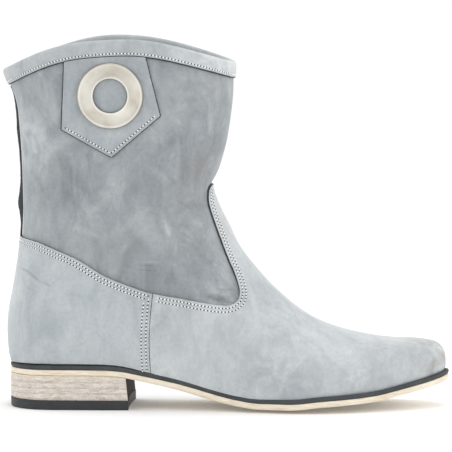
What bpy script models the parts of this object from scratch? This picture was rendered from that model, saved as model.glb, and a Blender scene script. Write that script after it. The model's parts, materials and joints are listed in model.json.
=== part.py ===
"""Heeled ankle boot for the right foot: one shoe, standing empty on its own sole.

Metres. Origin: middle of the heel's tread, on the floor. +X runs to the toe, +Z up,
-Y is the outer side of the foot, +Y the inner side.
The upper is one skin made of sections that fan round the throat: in the foot a section
stands on the sole, behind the throat its low end climbs the back of the leg.
"""
import math

import bmesh
import bpy
import numpy as np
from mathutils import Vector
from mathutils.bvhtree import BVHTree

# The sole
SOLE_LENGTH = 0.270
HEEL_LENGTH = 0.0727
BALL_WIDTH = 0.089
HEEL_WIDTH = 0.062
HEEL_HEIGHT = 0.021
TOE_SPRING = 0.0165
EDGE_LIFT = 0.0024
OUTSOLE = 0.0034
MIDSOLE = 0.0028
INSOLE = 0.0020
TOP_PIECE = 0.0058
BREAST_FLARE = 0.0022

# The upper
FEATHER_RATIO = 0.933
BACK_MARGIN = 0.0010
TOE_MARGIN = 0.0035
THROAT_HEIGHT = 0.1373
THROAT_REACH = 0.08625
FRONT_FLARE = 0.0150
COLLAR_FRONT = 0.2112
COLLAR_BACK = 0.2066
COLLAR_RISE = 0.0162
COLLAR_LEAN = 0.0017
COLLAR_DIP = 0.0019
COLLAR_WIDTH = 0.0850
HEEL_BULGE = 0.0021
WALL = 0.0019
OVERLAY = 0.0013
GAP = 0.0003
SEAT_GAP = 0.00045

# The trim
BINDING = 0.0010
BINDING_HEIGHT = 0.0086
BINDING_INSIDE = 0.0070
SEAM_WIDTH = 0.0023
SEAM_HEIGHT = 0.0014
RING_DIAMETER = 0.0400
RING_HOLE = 0.0202
RING_THICK = 0.0014

# along: share of SOLE_LENGTH from the back; heel: share of HEEL_HEIGHT under the outsole;
# toe: share of TOE_SPRING; crown: share of EDGE_LIFT at the side edges
SOLE_LINE = [
    # along, heel,  toe,   crown
    (0.000, 1.000, 0.000, 0.00),
    (0.110, 1.000, 0.000, 0.00),
    (0.215, 0.985, 0.000, 0.10),
    (0.260, 0.930, 0.000, 0.25),
    (0.300, 0.815, 0.000, 0.40),
    (0.340, 0.690, 0.000, 0.60),
    (0.386, 0.548, 0.000, 0.80),
    (0.430, 0.386, 0.000, 0.95),
    (0.477, 0.214, 0.000, 1.00),
    (0.523, 0.080, 0.000, 1.00),
    (0.573, 0.000, 0.000, 1.00),
    (0.640, 0.000, 0.000, 1.00),
    (0.710, 0.000, 0.100, 1.00),
    (0.785, 0.000, 0.200, 0.90),
    (0.845, 0.000, 0.315, 0.75),
    (0.883, 0.000, 0.470, 0.60),
    (0.934, 0.000, 0.700, 0.35),
    (1.000, 0.000, 1.000, 0.00),
]
# heel, ball: shares of half HEEL_WIDTH and half BALL_WIDTH that make the half width;
# middle: share of BALL_WIDTH toward the inner side
PLAN = [
    # along, heel, ball, middle
    (0.00, 0.98, 0.00, 0.000),
    (0.10, 1.00, 0.00, 0.000),
    (0.20, 1.00, 0.00, 0.000),
    (0.30, 0.82, 0.10, -0.005),
    (0.40, 0.62, 0.27, -0.020),
    (0.50, 0.30, 0.55, -0.035),
    (0.60, 0.05, 0.86, -0.030),
    (0.68, 0.00, 1.00, -0.010),
    (0.74, 0.00, 0.99, 0.012),
    (0.80, 0.00, 0.92, 0.035),
    (0.86, 0.00, 0.76, 0.055),
    (0.92, 0.00, 0.65, 0.070),
    (1.00, 0.00, 0.54, 0.085),
]
# The foot, toe to heel. forward: share of the way from the throat to the toe; top_height: share
# of THROAT_HEIGHT; low_along: share of the feather's length; half: share of BALL_WIDTH, or of
# COLLAR_WIDTH toward the heel; reach: from the ridge down to full width, share of THROAT_REACH; rise_in: from the low end up to full width, share of
# HEEL_WIDTH; crown, keel: roundness above and below; ridge: share of BALL_WIDTH inward
FOOT = [
    # forward, top_height, low_along, half, reach, rise_in, crown, keel, ridge
    (1.0000, 0.172, 1.0000, 0.004, 0.020, 0.020, 2.20, 2.0, 0.078),
    (1.0000, 0.212, 0.9936, 0.082, 0.044, 0.034, 2.30, 2.0, 0.078),
    (0.9930, 0.246, 0.9845, 0.126, 0.082, 0.065, 2.30, 2.0, 0.076),
    (0.9700, 0.273, 0.9665, 0.184, 0.129, 0.100, 2.30, 2.0, 0.074),
    (0.9310, 0.2840, 0.9455, 0.246, 0.161, 0.120, 2.30, 2.0, 0.071),
    (0.8527, 0.2940, 0.9058, 0.300, 0.200, 0.145, 2.30, 2.0, 0.066),
    (0.7459, 0.2985, 0.8550, 0.358, 0.236, 0.156, 2.20, 2.0, 0.058),
    (0.5088, 0.3510, 0.7450, 0.466, 0.322, 0.190, 2.00, 2.0, 0.044),
    (0.3067, 0.4915, 0.6390, 0.460, 0.489, 0.290, 1.90, 2.0, 0.034),
    (0.1430, 0.679, 0.5160, 0.417, 0.656, 0.450, 1.85, 2.0, 0.022),
    (0.0835, 0.790, 0.4440, 0.403, 0.680, 0.560, 1.85, 2.0, 0.015),
    (0.0425, 0.880, 0.3555, 0.400, 0.713, 0.690, 1.90, 2.0, 0.009),
    (0.0145, 0.954, 0.2430, 0.408, 0.771, 0.780, 1.95, 2.1, 0.004),
    (0.0062, 0.985, 0.1080, 0.417, 0.840, 0.800, 2.00, 2.2, 0.001),
    (0.0092, 1.000, 0.0284, 0.422, 0.875, 0.800, 2.00, 2.2, 0.000),
    (0.0138, 1.009, 0.0090, 0.423, 0.886, 0.800, 2.00, 2.2, 0.000),
]
# The leg, heel corner to collar. front: share of FRONT_FLARE ahead of THROAT_REACH;
# front_height: share of the way from the throat to the collar; back_height: the same from the
# heel seat; back: share of HEEL_BULGE behind the feather; half: share of COLLAR_WIDTH; round: how far the
# round of the back runs forward, share of HEEL_WIDTH; rise: share of COLLAR_RISE
LEG = [
    # front, front_height, back, back_height, half, reach, round, crown, keel, rise
    (0.30, 0.042, 0.00, 0.000, 0.424, 0.892, 0.45, 2.00, 2.20, 0.00),
    (0.415, 0.107, 0.45, 0.165, 0.425, 0.875, 0.72, 2.00, 2.05, 0.00),
    (0.53, 0.187, -2.65, 0.390, 0.430, 0.806, 0.95, 2.05, 2.00, 0.03),
    (0.785, 0.402, -3.19, 0.646, 0.448, 0.765, 1.02, 2.15, 2.05, 0.18),
    (0.955, 0.700, -1.90, 0.858, 0.476, 0.760, 1.05, 2.25, 2.10, 0.52),
    (0.98, 0.861, -0.05, 0.939, 0.490, 0.777, 1.09, 2.25, 2.10, 0.76),
    (1.00, 1.000, 1.86, 1.000, 0.500, 0.800, 1.12, 2.25, 2.10, 1.00),
]
SECTIONS_PER_ROW = [1, 1, 1, 1, 1, 1, 2, 2, 2, 2, 2, 2, 2, 2, 2, 1, 2, 2, 2, 2, 1, 1]
AROUND = 28
HEEL_END_RATIO = 0.45
TOE_FROM = 0.86

# Pattern lines in side view. along: share of SOLE_LENGTH; height: share of THROAT_HEIGHT
QUARTER_SEAM = [(0.3295, 0.120), (0.3258, 0.326), (0.3346, 0.5255)]
COUNTER_TOP = [(0.3330, 0.5255), (0.306, 0.540), (0.261, 0.573), (0.216, 0.613), (0.171, 0.668),
               (0.125, 0.7055), (0.077, 0.7395), (0.036, 0.756), (-0.10, 0.803)]
VAMP_TOP = [(0.3346, 0.5255), (0.377, 0.5105), (0.416, 0.497), (0.455, 0.483), (0.488, 0.474),
            (0.508, 0.474), (0.520, 0.4846), (0.5265, 0.4996), (0.5293, 0.5193)]
# Tongue in front view. side: share of BALL_WIDTH; height: share of THROAT_HEIGHT
TONGUE = [(0.345, 0.490), (0.306, 0.538), (0.257, 0.602), (0.231, 0.662), (0.210, 0.732),
          (0.157, 0.883), (0.125, 0.938), (0.090, 0.965), (0.050, 0.982), (0.000, 0.992)]
# Tab in side view. across: share of RING_DIAMETER ahead of the ring; height: share of
# RING_DIAMETER above the ring. The ring's place: shares of SOLE_LENGTH and COLLAR_FRONT
TAB = [(-0.700, 0.66), (-0.752, -0.515), (0.014, -0.930), (0.750, -0.303), (0.536, 0.66)]
RING_AT = (0.2412, 0.9100)


def natural(values):
    """Natural cubic through evenly spaced rows, straight beyond the last one."""
    y = np.array(values, float)
    n = len(y)
    a, b = np.zeros((n, n)), np.zeros(n)
    a[0, 0] = a[-1, -1] = 1
    for i in range(1, n - 1):
        a[i, i - 1:i + 2] = (1, 4, 1)
        b[i] = 6 * (y[i + 1] - 2 * y[i] + y[i - 1])
    m = np.linalg.solve(a, b)

    def at(t):
        if t > n - 1:
            return y[-1] + (t - n + 1) * (y[-1] - y[-2] + m[-2] / 6)
        i = int(min(max(math.floor(t), 0), n - 2))
        f = t - i
        g = 1 - f
        return y[i] * g + y[i + 1] * f + (g ** 3 - g) * m[i] / 6 + (f ** 3 - f) * m[i + 1] / 6
    return at


def steady(xs, ys):
    """Monotone cubic: flats stay flat and no row is overshot."""
    xs, ys = np.array(xs, float), np.array(ys, float)
    step = np.diff(xs)
    slope = np.diff(ys) / step
    tangent = np.zeros(len(xs))
    tangent[0], tangent[-1] = slope[0], slope[-1]
    for i in range(1, len(xs) - 1):
        if slope[i - 1] * slope[i] > 0:
            w1, w2 = 2 * step[i] + step[i - 1], step[i] + 2 * step[i - 1]
            tangent[i] = (w1 + w2) / (w1 / slope[i - 1] + w2 / slope[i])

    def at(x):
        i = int(min(max(np.searchsorted(xs, x) - 1, 0), len(xs) - 2))
        f = min(max((x - xs[i]) / step[i], 0.0), 1.0)
        h00, h10 = 2 * f ** 3 - 3 * f ** 2 + 1, f ** 3 - 2 * f ** 2 + f
        return (h00 * ys[i] + h10 * step[i] * tangent[i] + (1 - h00) * ys[i + 1]
                + (f ** 3 - f ** 2) * step[i] * tangent[i + 1])
    return at


def column(table, i):
    return [row[i] for row in table]


SOLE_BACK = -HEEL_LENGTH / 2
UPPER_BACK = SOLE_BACK + BACK_MARGIN
FEATHER_LENGTH = SOLE_LENGTH - BACK_MARGIN - TOE_MARGIN
LINE = [steady(column(SOLE_LINE, 0), column(SOLE_LINE, i)) for i in (1, 2, 3)]
WIDTHS = [steady(column(PLAN, 0), column(PLAN, i)) for i in (1, 2, 3)]


def plan(share, heel_end=True):
    """Middle and half width of the sole at a share of its length."""
    share = min(max(share, 0.0), 1.0)
    half = WIDTHS[0](share) * HEEL_WIDTH / 2 + WIDTHS[1](share) * BALL_WIDTH / 2
    back = share * SOLE_LENGTH / (HEEL_END_RATIO * HEEL_WIDTH)
    if heel_end and back < 1:
        half *= max(1 - (1 - back) ** 2.2, 0) ** (1 / 2.2)
    if share > TOE_FROM:
        half *= max(1 - ((share - TOE_FROM) / (1 - TOE_FROM)) ** 2.2, 0) ** 0.5
    return WIDTHS[2](share) * BALL_WIDTH, half


def underside(x, y):
    """Height of the outsole's underside."""
    share = min(max((x - SOLE_BACK) / SOLE_LENGTH, 0.0), 1.0)
    middle = WIDTHS[2](share) * BALL_WIDTH
    half = WIDTHS[0](share) * HEEL_WIDTH / 2 + WIDTHS[1](share) * BALL_WIDTH / 2
    side = max(abs(y - middle) / half - 0.35, 0) / 0.65
    return (LINE[0](share) * HEEL_HEIGHT + LINE[1](share) * TOE_SPRING
            + LINE[2](share) * EDGE_LIFT * min(side, 1.1) ** 2)


def seat(x, y):
    """Top of the midsole plus the gap: what the upper and the insole stand on."""
    return underside(x, y) + OUTSOLE + GAP + MIDSOLE + SEAT_GAP


def feather(share):
    """Middle and half width of the upper's lower edge, before the heel's round."""
    middle, half = plan(share, False)
    return middle, half * FEATHER_RATIO


HEEL_ROW = len(FOOT)
LAST_ROW = len(FOOT) + len(LEG) - 1
SEAT_HEIGHT = HEEL_HEIGHT + OUTSOLE + MIDSOLE + GAP + SEAT_GAP

top_x = ([THROAT_REACH + v * (UPPER_BACK + FEATHER_LENGTH - THROAT_REACH) for v in column(FOOT, 0)]
         + [THROAT_REACH + v * FRONT_FLARE for v in column(LEG, 0)])
top_z = ([v * THROAT_HEIGHT for v in column(FOOT, 1)]
         + [THROAT_HEIGHT + v * (COLLAR_FRONT - THROAT_HEIGHT) for v in column(LEG, 1)])
TOP_X, TOP_Z = natural(top_x), natural(top_z)
LOW = steady(range(HEEL_ROW + 1), column(FOOT, 2) + [0.0])
BACK_X = natural([UPPER_BACK - v * HEEL_BULGE for v in column(LEG, 2)])
BACK_Z = natural([SEAT_HEIGHT + v * (COLLAR_BACK - SEAT_HEIGHT) for v in column(LEG, 3)])
HALF = natural([row[3] * (COLLAR_WIDTH + (BALL_WIDTH - COLLAR_WIDTH) * min(row[2] / 0.6, 1.0))
                for row in FOOT] + [v * COLLAR_WIDTH for v in column(LEG, 4)])
REACH = natural([v * THROAT_REACH for v in column(FOOT, 4) + column(LEG, 5)])
RISE_IN = natural([v * HEEL_WIDTH for v in column(FOOT, 5)])
ROUND = natural([v * HEEL_WIDTH for v in column(LEG, 6)])
CROWN = natural(column(FOOT, 6) + column(LEG, 7))
KEEL = natural(column(FOOT, 7) + column(LEG, 8))
RIDGE = natural([v * BALL_WIDTH for v in column(FOOT, 8)] + [0.0] * len(LEG))
RISE = natural([0.0] * len(FOOT) + column(LEG, 9))


leg_rows = np.linspace(0, len(LEG) - 1, 121)
BACK_LINE = np.array([[BACK_Z(r), BACK_X(r)] for r in leg_rows])
HEEL_HALF = feather(0.10)[1]


def smooth(t):
    t = min(max(t, 0.0), 1.0)
    return t * t * (3 - 2 * t)


def section(row, around):
    """Points of the upper's outer face on one section: outer side, ridge, inner side."""
    top = np.array([TOP_X(row), TOP_Z(row)])
    if row < HEEL_ROW:
        share = LOW(row)
        middle, half_low = feather(share)
        x = UPPER_BACK + share * FEATHER_LENGTH
        low = np.array([x, seat(x, middle)])
    else:
        middle = 0.0
        half_low = HEEL_HALF + (HALF(row) - HEEL_HALF) * smooth((row - HEEL_ROW) / 2)
        low = np.array([BACK_X(row - HEEL_ROW), BACK_Z(row - HEEL_ROW)])
    half, length = max(HALF(row), half_low), np.linalg.norm(top - low)
    crown, keel = CROWN(row), KEEL(row)
    h = 0.5 - 0.5 * np.cos(np.linspace(0, math.pi, 161))
    x, z = low[0] + (top[0] - low[0]) * h, low[1] + (top[1] - low[1]) * h
    rise_in = min(RISE_IN(min(row, HEEL_ROW - 1)) / length, 0.6)
    swell = 1 - np.clip(1 - h / rise_in, 0, 1) ** 2
    full = min(max(1 - REACH(row) / length, 0.3), 0.9)
    above = np.clip((h - full) / (1 - full), 0, 1) ** crown
    back = np.clip(1 - (x - np.interp(z, BACK_LINE[:, 0], BACK_LINE[:, 1]))
                   / ROUND(max(row - HEEL_ROW, 0.0)), 0, 1) ** keel
    width = ((half_low + (half - half_low) * swell) * np.clip(1 - above, 0, 1) ** (1 / crown)
             * np.clip(1 - back, 0, 1) ** (1 / keel))
    run = np.concatenate([[0], np.cumsum(np.hypot(np.diff(width), np.diff(h) * length))])
    even = np.interp(np.linspace(0, run[-1], around // 2 + 1), run, h)
    wide = np.interp(even, h, width)
    wide[-1] = 0.0
    centre = middle + (RIDGE(row) - middle) * even
    x = low[0] + (top[0] - low[0]) * even
    rise = COLLAR_RISE * (wide / half) ** 2.4 + COLLAR_LEAN * np.sin(2 * math.pi * even ** 1.4)
    z = low[1] + (top[1] - low[1]) * even + RISE(row) * rise
    dip = COLLAR_DIP * RISE(row) * np.exp(-((even - 0.42) / 0.17) ** 2)
    outer = np.stack([x, centre - wide, z - dip], 1)
    inner = np.stack([x, centre + wide, z], 1)
    return np.concatenate([outer, inner[-2::-1]])


def row_numbers(first, last):
    """The section rows between two rows of the tables."""
    rows = []
    for i, count in enumerate(SECTIONS_PER_ROW):
        rows += [i + k / count for k in range(count)]
    rows.append(float(LAST_ROW))
    return [r for r in rows if first - 1e-9 <= r <= last + 1e-9]


def skin(rows, columns=None):
    """One layer of points and faces; closed up the back of the leg and at the toe."""
    points, faces, grid, edge = [], [], [], []
    columns = columns or range(AROUND + 1)
    for row in rows:
        line = section(row, AROUND)
        if row == 0:
            points.append(line[AROUND // 2])
            grid.append([0] * len(columns))
            edge.append(0)
            continue
        index = []
        for j in columns:
            if row >= HEEL_ROW and j == AROUND and len(columns) == AROUND + 1:
                index.append(index[0])
                continue
            index.append(len(points))
            points.append(line[j])
            if row <= HEEL_ROW and j in (0, AROUND):
                edge.append(index[-1])
        grid.append(index)
    for a, b in zip(grid, grid[1:]):
        for j in range(len(columns) - 1):
            if columns[j] < AROUND // 2:
                pair = ([a[j], a[j + 1], b[j + 1]], [a[j], b[j + 1], b[j]])
            else:
                pair = ([a[j], a[j + 1], b[j]], [a[j + 1], b[j + 1], b[j]])
            for face in pair:
                if len(set(face)) == 3:
                    faces.append(face)
    return np.array(points), faces, edge


def normals(points, faces):
    """Outward direction at each point."""
    bm = bmesh.new()
    corners = [bm.verts.new(p) for p in points]
    for face in faces:
        bm.faces.new([corners[v] for v in face])
    bm.normal_update()
    result = np.array([v.normal[:] for v in corners])
    bm.free()
    return result


def between(name, rows, low, high, colour, columns=None):
    """A closed solid between two lifts of the skin, standing on the sole where it meets it."""
    points, faces, edge = skin(rows, columns)
    out = normals(points, faces)
    count = len(points)
    shells = [points + out * low, points + out * high]
    for shell in shells:
        for v in edge:
            shell[v][2] = seat(shell[v][0], shell[v][1])
    solid = [list(reversed(face)) for face in faces] + [[v + count for v in face] for face in faces]
    sides = {(a, b) for face in faces for a, b in zip(face, face[1:] + face[:1])}
    for a, b in sides:
        if (b, a) not in sides:
            solid += [[a, b, b + count], [a, b + count, a + count]]
    return make(name, np.concatenate(shells), solid, colour)


PARTS = bpy.data.collections.new("heeled_ankle_boot")
CUTTERS = bpy.data.collections.new("cutters")


def make(name, points, faces, colour=None):
    """A mesh object in the boot's collection, or a cutter when it has no colour."""
    mesh = bpy.data.meshes.new(name)
    mesh.from_pydata([tuple(float(c) for c in p) for p in points], [], faces)
    bm = bmesh.new()
    bm.from_mesh(mesh)
    bmesh.ops.recalc_face_normals(bm, faces=bm.faces)
    bm.to_mesh(mesh)
    bm.free()
    piece = bpy.data.objects.new(name, mesh)
    if colour is None:
        CUTTERS.objects.link(piece)
        piece.hide_render = True
        piece.display_type = "WIRE"
        return piece
    PARTS.objects.link(piece)
    material = bpy.data.materials.new(name)
    material.use_nodes = True
    shader = next(n for n in material.node_tree.nodes if n.type == "BSDF_PRINCIPLED")
    shader.inputs["Base Color"].default_value = (*colour[:3], 1.0)
    shader.inputs["Roughness"].default_value = colour[3]
    shader.inputs["Metallic"].default_value = colour[4] if len(colour) > 4 else 0.0
    material.diffuse_color = (*colour[:3], 1.0)
    mesh.materials.append(material)
    return piece


def prism(name, outline, axis, start, end):
    """A closed prism: an outline (x, z) along Y, or (y, z) along X."""
    count = len(outline)
    points = [(a, d, b) if axis == "Y" else (d, a, b) for d in (start, end) for a, b in outline]
    faces = [list(range(count)), list(range(2 * count - 1, count - 1, -1))]
    faces += [[i, (i + 1) % count, (i + 1) % count + count, i + count] for i in range(count)]
    return make(name, points, faces)


def cut(piece, cutter, operation):
    modifier = piece.modifiers.new(cutter.name, "BOOLEAN")
    modifier.operation = operation
    modifier.solver = "EXACT"
    modifier.object = cutter


def layer(name, back, front, inset, low, high, stations, across, colour, flare=(0.0, 0.0)):
    """A piece of the sole between two heights, with the sole's own outline.

    back, front: its ends as shares of the sole's length; flare: how far the cut front runs
    forward at the bottom and at the top. A front of 1 closes in the toe's round, any other is
    cut straight.
    """
    t = np.linspace(0, 1, stations + 1)
    spaced = 0.5 - 0.5 * np.cos(math.pi * t) if front >= 1 else 1 - np.cos(math.pi / 2 * t)
    shares = back + (front - back) * (0.35 * t + 0.65 * spaced)
    points, faces, grids = [], [], []
    for height, push in zip((low, high), flare):
        grid = []
        for k, share in enumerate(shares):
            middle, half = plan(share)
            half = half - inset if half > 2 * inset else half / 2
            x = SOLE_BACK + share * SOLE_LENGTH
            x = SOLE_BACK + inset + (x - SOLE_BACK) * (1 - inset * (2 if front >= 1 else 1) / SOLE_LENGTH)
            x += push * t[k] ** 4
            if half < 1e-5 or k == 0 or (k == stations and front >= 1):
                points.append((x, middle, height(x, middle)))
                grid.append([len(points) - 1] * (across + 1))
                continue
            line = []
            for j in range(across + 1):
                y = middle + half * math.sin(math.pi / 2 * (2 * j / across - 1))
                points.append((x, y, height(x, y)))
                line.append(len(points) - 1)
            grid.append(line)
        grids.append(grid)
    for side, grid in enumerate(grids):
        for a, b in zip(grid, grid[1:]):
            for j in range(across):
                face = [a[j], b[j], b[j + 1], a[j + 1]]
                face = [v for i, v in enumerate(face) if v != face[i - 1]]
                if len(face) > 2:
                    faces.append(face if side else face[::-1])
    sides = {(a, b) for face in faces for a, b in zip(face, face[1:] + face[:1])}
    size = len(points) // 2
    for a, b in sides:
        if (b, a) not in sides and a < size and b < size:
            faces.append([b, a, a + size, b + size])
    return make(name, points, faces, colour)


GREY = (0.46, 0.49, 0.51, 0.9)
GREY_DARK = (0.36, 0.39, 0.41, 0.9)
CHARCOAL = (0.045, 0.045, 0.05, 0.7)
TAN = (0.62, 0.55, 0.44, 0.6)


def build_sole():
    layer("outsole", 0, 1, 0.0, underside, lambda x, y: underside(x, y) + OUTSOLE, 30, 6, TAN)
    layer("midsole", 0, 1, 0.0, lambda x, y: underside(x, y) + OUTSOLE + GAP,
          lambda x, y: underside(x, y) + OUTSOLE + GAP + MIDSOLE, 30, 6, CHARCOAL)
    front = HEEL_LENGTH / SOLE_LENGTH
    layer("heel_stack", 0, front, 0.0002, lambda x, y: TOP_PIECE + GAP,
          lambda x, y: underside(x, y) - GAP, 14, 6, (0.50, 0.45, 0.37, 0.6),
          (0.85 * BREAST_FLARE, 0.25 * BREAST_FLARE))
    layer("heel_top_piece", 0, front, 0.0, lambda x, y: 0.0, lambda x, y: TOP_PIECE, 14, 6,
          (0.02, 0.02, 0.022, 0.7), (BREAST_FLARE, BREAST_FLARE))


def build_insole():
    inset = (1 - FEATHER_RATIO) * BALL_WIDTH / 2 + WALL + 2 * GAP
    layer("insole", 0.0, 1.0, inset + WALL / 2 + 4 * GAP, seat, lambda x, y: seat(x, y) + INSOLE, 24, 5,
          (0.55, 0.47, 0.37, 0.8))


def build_upper():
    between("upper", row_numbers(0, LAST_ROW), -WALL, 0.0, GREY_DARK)


def side_point(along, height):
    return SOLE_BACK + along * SOLE_LENGTH, height * THROAT_HEIGHT


def build_overlays():
    """Vamp and counter: one foot-wide layer over the upper, cut by the pattern lines."""
    reach, floor = SOLE_LENGTH, -HEEL_HEIGHT
    seam = [side_point(*p) for p in QUARTER_SEAM]
    top = [side_point(*p) for p in VAMP_TOP]
    split = GAP * 0.6
    lift = GAP * 1.4
    front = SOLE_BACK + 1.2 * reach
    outline = ([(seam[0][0] + split, floor)] + [(x + split, z) for x, z in seam] + top[1:]
               + [(front, top[-1][1]), (front, floor)])
    lower = prism("vamp_lower", outline, "Y", -BALL_WIDTH, BALL_WIDTH)
    half = [(side * BALL_WIDTH, height * THROAT_HEIGHT) for side, height in TONGUE]
    tongue = prism("vamp_tongue", half + [(-y, z) for y, z in half[-2::-1]], "X",
                   SOLE_BACK + 0.36 * reach, front)
    cut(lower, tongue, "UNION")
    high_row = HEEL_ROW + 3
    vamp = between("vamp", row_numbers(0, high_row), lift, lift + OVERLAY, GREY)
    cut(vamp, lower, "INTERSECT")
    back = SOLE_BACK - 0.2 * reach
    edge = [side_point(*p) for p in COUNTER_TOP]
    outline = ([(seam[0][0] - split, floor)] + [(x - split, z) for x, z in seam[:2]]
               + [(seam[2][0] - split, edge[0][1])] + edge[1:] + [(back, floor)])
    counter = between("counter", row_numbers(0, high_row), lift, lift + OVERLAY, GREY)
    cut(counter, prism("counter_cut", outline, "Y", -BALL_WIDTH, BALL_WIDTH), "INTERSECT")


def rim_frame(columns):
    """For each column: points down the collar by distance, with the outward direction."""
    rows = [LAST_ROW - 2.2 + 0.1 * k for k in range(24)]
    lines = np.array([section(r, AROUND) for r in rows])
    down = np.concatenate([np.zeros((1, AROUND + 1)),
                           np.cumsum(np.linalg.norm(np.diff(lines, axis=0), axis=2), axis=0)])
    at_rim = 22
    used = row_numbers(HEEL_ROW + 2, LAST_ROW)
    points, faces, _ = skin(used)
    out = normals(points, faces).reshape(len(used), AROUND, 3)[-3:]
    steps = points.reshape(len(used), AROUND, 3)[-3:]

    def at(j, distance, lift):
        want = down[at_rim, j] - distance
        p = np.array([np.interp(want, down[:, j], lines[:, j, c]) for c in range(3)])
        j = j % AROUND
        first = np.linalg.norm(steps[2, j] - steps[1, j])
        second = first + np.linalg.norm(steps[1, j] - steps[0, j])
        n = np.array([np.interp(distance, (0, first, second), out[::-1, j, c]) for c in range(3)])
        return p + n / np.linalg.norm(n) * lift
    return at


def build_binding():
    """The folded band over the collar: outside, over the rim, and down inside."""
    at = rim_frame(AROUND)
    inside = -WALL - GAP
    profile = [
        (BINDING_HEIGHT, GAP), (BINDING_HEIGHT, GAP + BINDING),
        (BINDING_HEIGHT / 2, GAP + BINDING), (0.0, GAP + BINDING),
        (-GAP - BINDING, -WALL * 0.1), (-GAP - BINDING, -WALL * 0.9),
        (0.0, inside - BINDING), (BINDING_INSIDE, inside - BINDING),
        (BINDING_INSIDE, inside), (-GAP, inside), (-GAP, GAP), (BINDING_HEIGHT / 2, GAP),
    ]
    count = len(profile)
    points = [at(j, d, lift) for j in range(AROUND) for d, lift in profile]
    faces = []
    for j in range(AROUND):
        k = (j + 1) % AROUND
        for i in range(count):
            n = (i + 1) % count
            faces.append([j * count + i, j * count + n, k * count + n, k * count + i])
    make("collar_binding", points, faces, CHARCOAL)
    return at


def build_back_seam(at):
    """The raised closed seam up the back, from the counter to the band."""
    low = side_point(*COUNTER_TOP[-2])[1] + 3 * OVERLAY
    rows = np.linspace(HEEL_ROW + 1, LAST_ROW, 60)
    line = [(BACK_X(r - HEEL_ROW), BACK_Z(r - HEEL_ROW)) for r in rows]
    band = at(0, BINDING_HEIGHT + GAP * 2, 0.0)[2]
    heights = np.linspace(low, band, 13)
    back = np.interp(heights, [p[1] for p in line], [p[0] for p in line])
    points, faces = [], []
    slope = np.gradient(back, heights)
    for x, z, s in zip(back, heights, slope):
        nx, nz = -1 / math.hypot(1, s), s / math.hypot(1, s)
        for side, lift in ((-1, GAP * 2), (-1, SEAM_HEIGHT * 0.8), (-0.4, SEAM_HEIGHT + GAP),
                           (0.4, SEAM_HEIGHT + GAP), (1, SEAM_HEIGHT * 0.8), (1, GAP * 2)):
            points.append((x + nx * lift, side * SEAM_WIDTH / 2, z + nz * lift))
    for i in range(12):
        for k in range(6):
            n = (k + 1) % 6
            faces.append([i * 6 + k, i * 6 + n, i * 6 + 6 + n, i * 6 + 6 + k])
    faces += [list(range(6)), list(range(72, 78))]
    make("back_seam", points, faces, CHARCOAL)


def build_tab(at):
    """The five-sided tab on the outer side, with its flat ring."""
    x0, z0 = SOLE_BACK + RING_AT[0] * SOLE_LENGTH, RING_AT[1] * COLLAR_FRONT
    corners = [(x0 + a * RING_DIAMETER, z0 + b * RING_DIAMETER) for a, b in TAB]
    half = AROUND // 2
    under = [at(j, BINDING_HEIGHT + 2 * GAP, GAP) for j in range(half)]
    start, end = corners[-1][0], corners[0][0]
    top = [(x, np.interp(x, [p[0] for p in under], [p[2] for p in under]))
           for x in np.linspace(start, end, 4)]
    tab = between("side_tab", row_numbers(HEEL_ROW + 2, LAST_ROW), GAP, GAP + OVERLAY, GREY,
                  range(1, half))
    cut(tab, prism("tab_cut", corners[1:4] + top, "Y", -COLLAR_WIDTH, 0.0), "INTERSECT")

    points, faces, _ = skin(row_numbers(HEEL_ROW + 2, LAST_ROW), range(1, half))
    out = normals(points, faces)
    leather = BVHTree.FromPolygons([tuple(p) for p in points + out * (GAP + OVERLAY)], faces)
    spot, normal, _, _ = leather.ray_cast(Vector((x0, -COLLAR_WIDTH, z0)), Vector((0, 1, 0)))
    normal = normal if normal.y < 0 else -normal
    right = Vector((1, 0, 0)) - normal * normal.x
    right.normalize()
    up = normal.cross(right) * -1
    up = up if up.z > 0 else -up
    r0, r1 = RING_HOLE / 2, RING_DIAMETER / 2
    roll = (r1 - r0) * 0.24
    profile = [(r0, 0.35), (r0 + roll * 0.45, 1.0), (r0 + roll, 0.45), (r1 - roll, 0.45),
               (r1 - roll * 0.45, 1.0), (r1, 0.35)]
    turns = 32
    ring_points, ring_faces = [], []
    for k in range(turns):
        angle = 2 * math.pi * k / turns
        ray = right * math.cos(angle) + up * math.sin(angle)
        for r, share in profile:
            ring_points.append(spot + ray * r + normal * (GAP + RING_THICK * share))
        for r in (r1, (r0 + r1) / 2, r0):
            p = spot + ray * r
            hit = leather.ray_cast(p + normal * RING_DIAMETER / 2, -normal)[0]
            ring_points.append(p + normal * ((hit - p).dot(normal) + GAP))
    count = len(profile) + 3
    for k in range(turns):
        n = (k + 1) % turns
        for i in range(count):
            j = (i + 1) % count
            ring_faces.append([k * count + i, k * count + j, n * count + j, n * count + i])
    make("ring", ring_points, ring_faces, (0.62, 0.58, 0.52, 0.35, 1.0))


def main():
    for thing in list(bpy.data.objects):
        bpy.data.objects.remove(thing)
    scene = bpy.context.scene
    scene.collection.children.link(PARTS)
    scene.collection.children.link(CUTTERS)
    build_sole()
    build_insole()
    build_upper()
    build_overlays()
    at = build_binding()
    build_back_seam(at)
    build_tab(at)


main()
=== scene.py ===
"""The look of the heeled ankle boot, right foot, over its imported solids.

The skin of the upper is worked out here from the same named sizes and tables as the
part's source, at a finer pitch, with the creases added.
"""

import json
import math
import random

import bmesh
import bpy
import numpy as np
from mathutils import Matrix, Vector, noise
from mathutils.bvhtree import BVHTree

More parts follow.
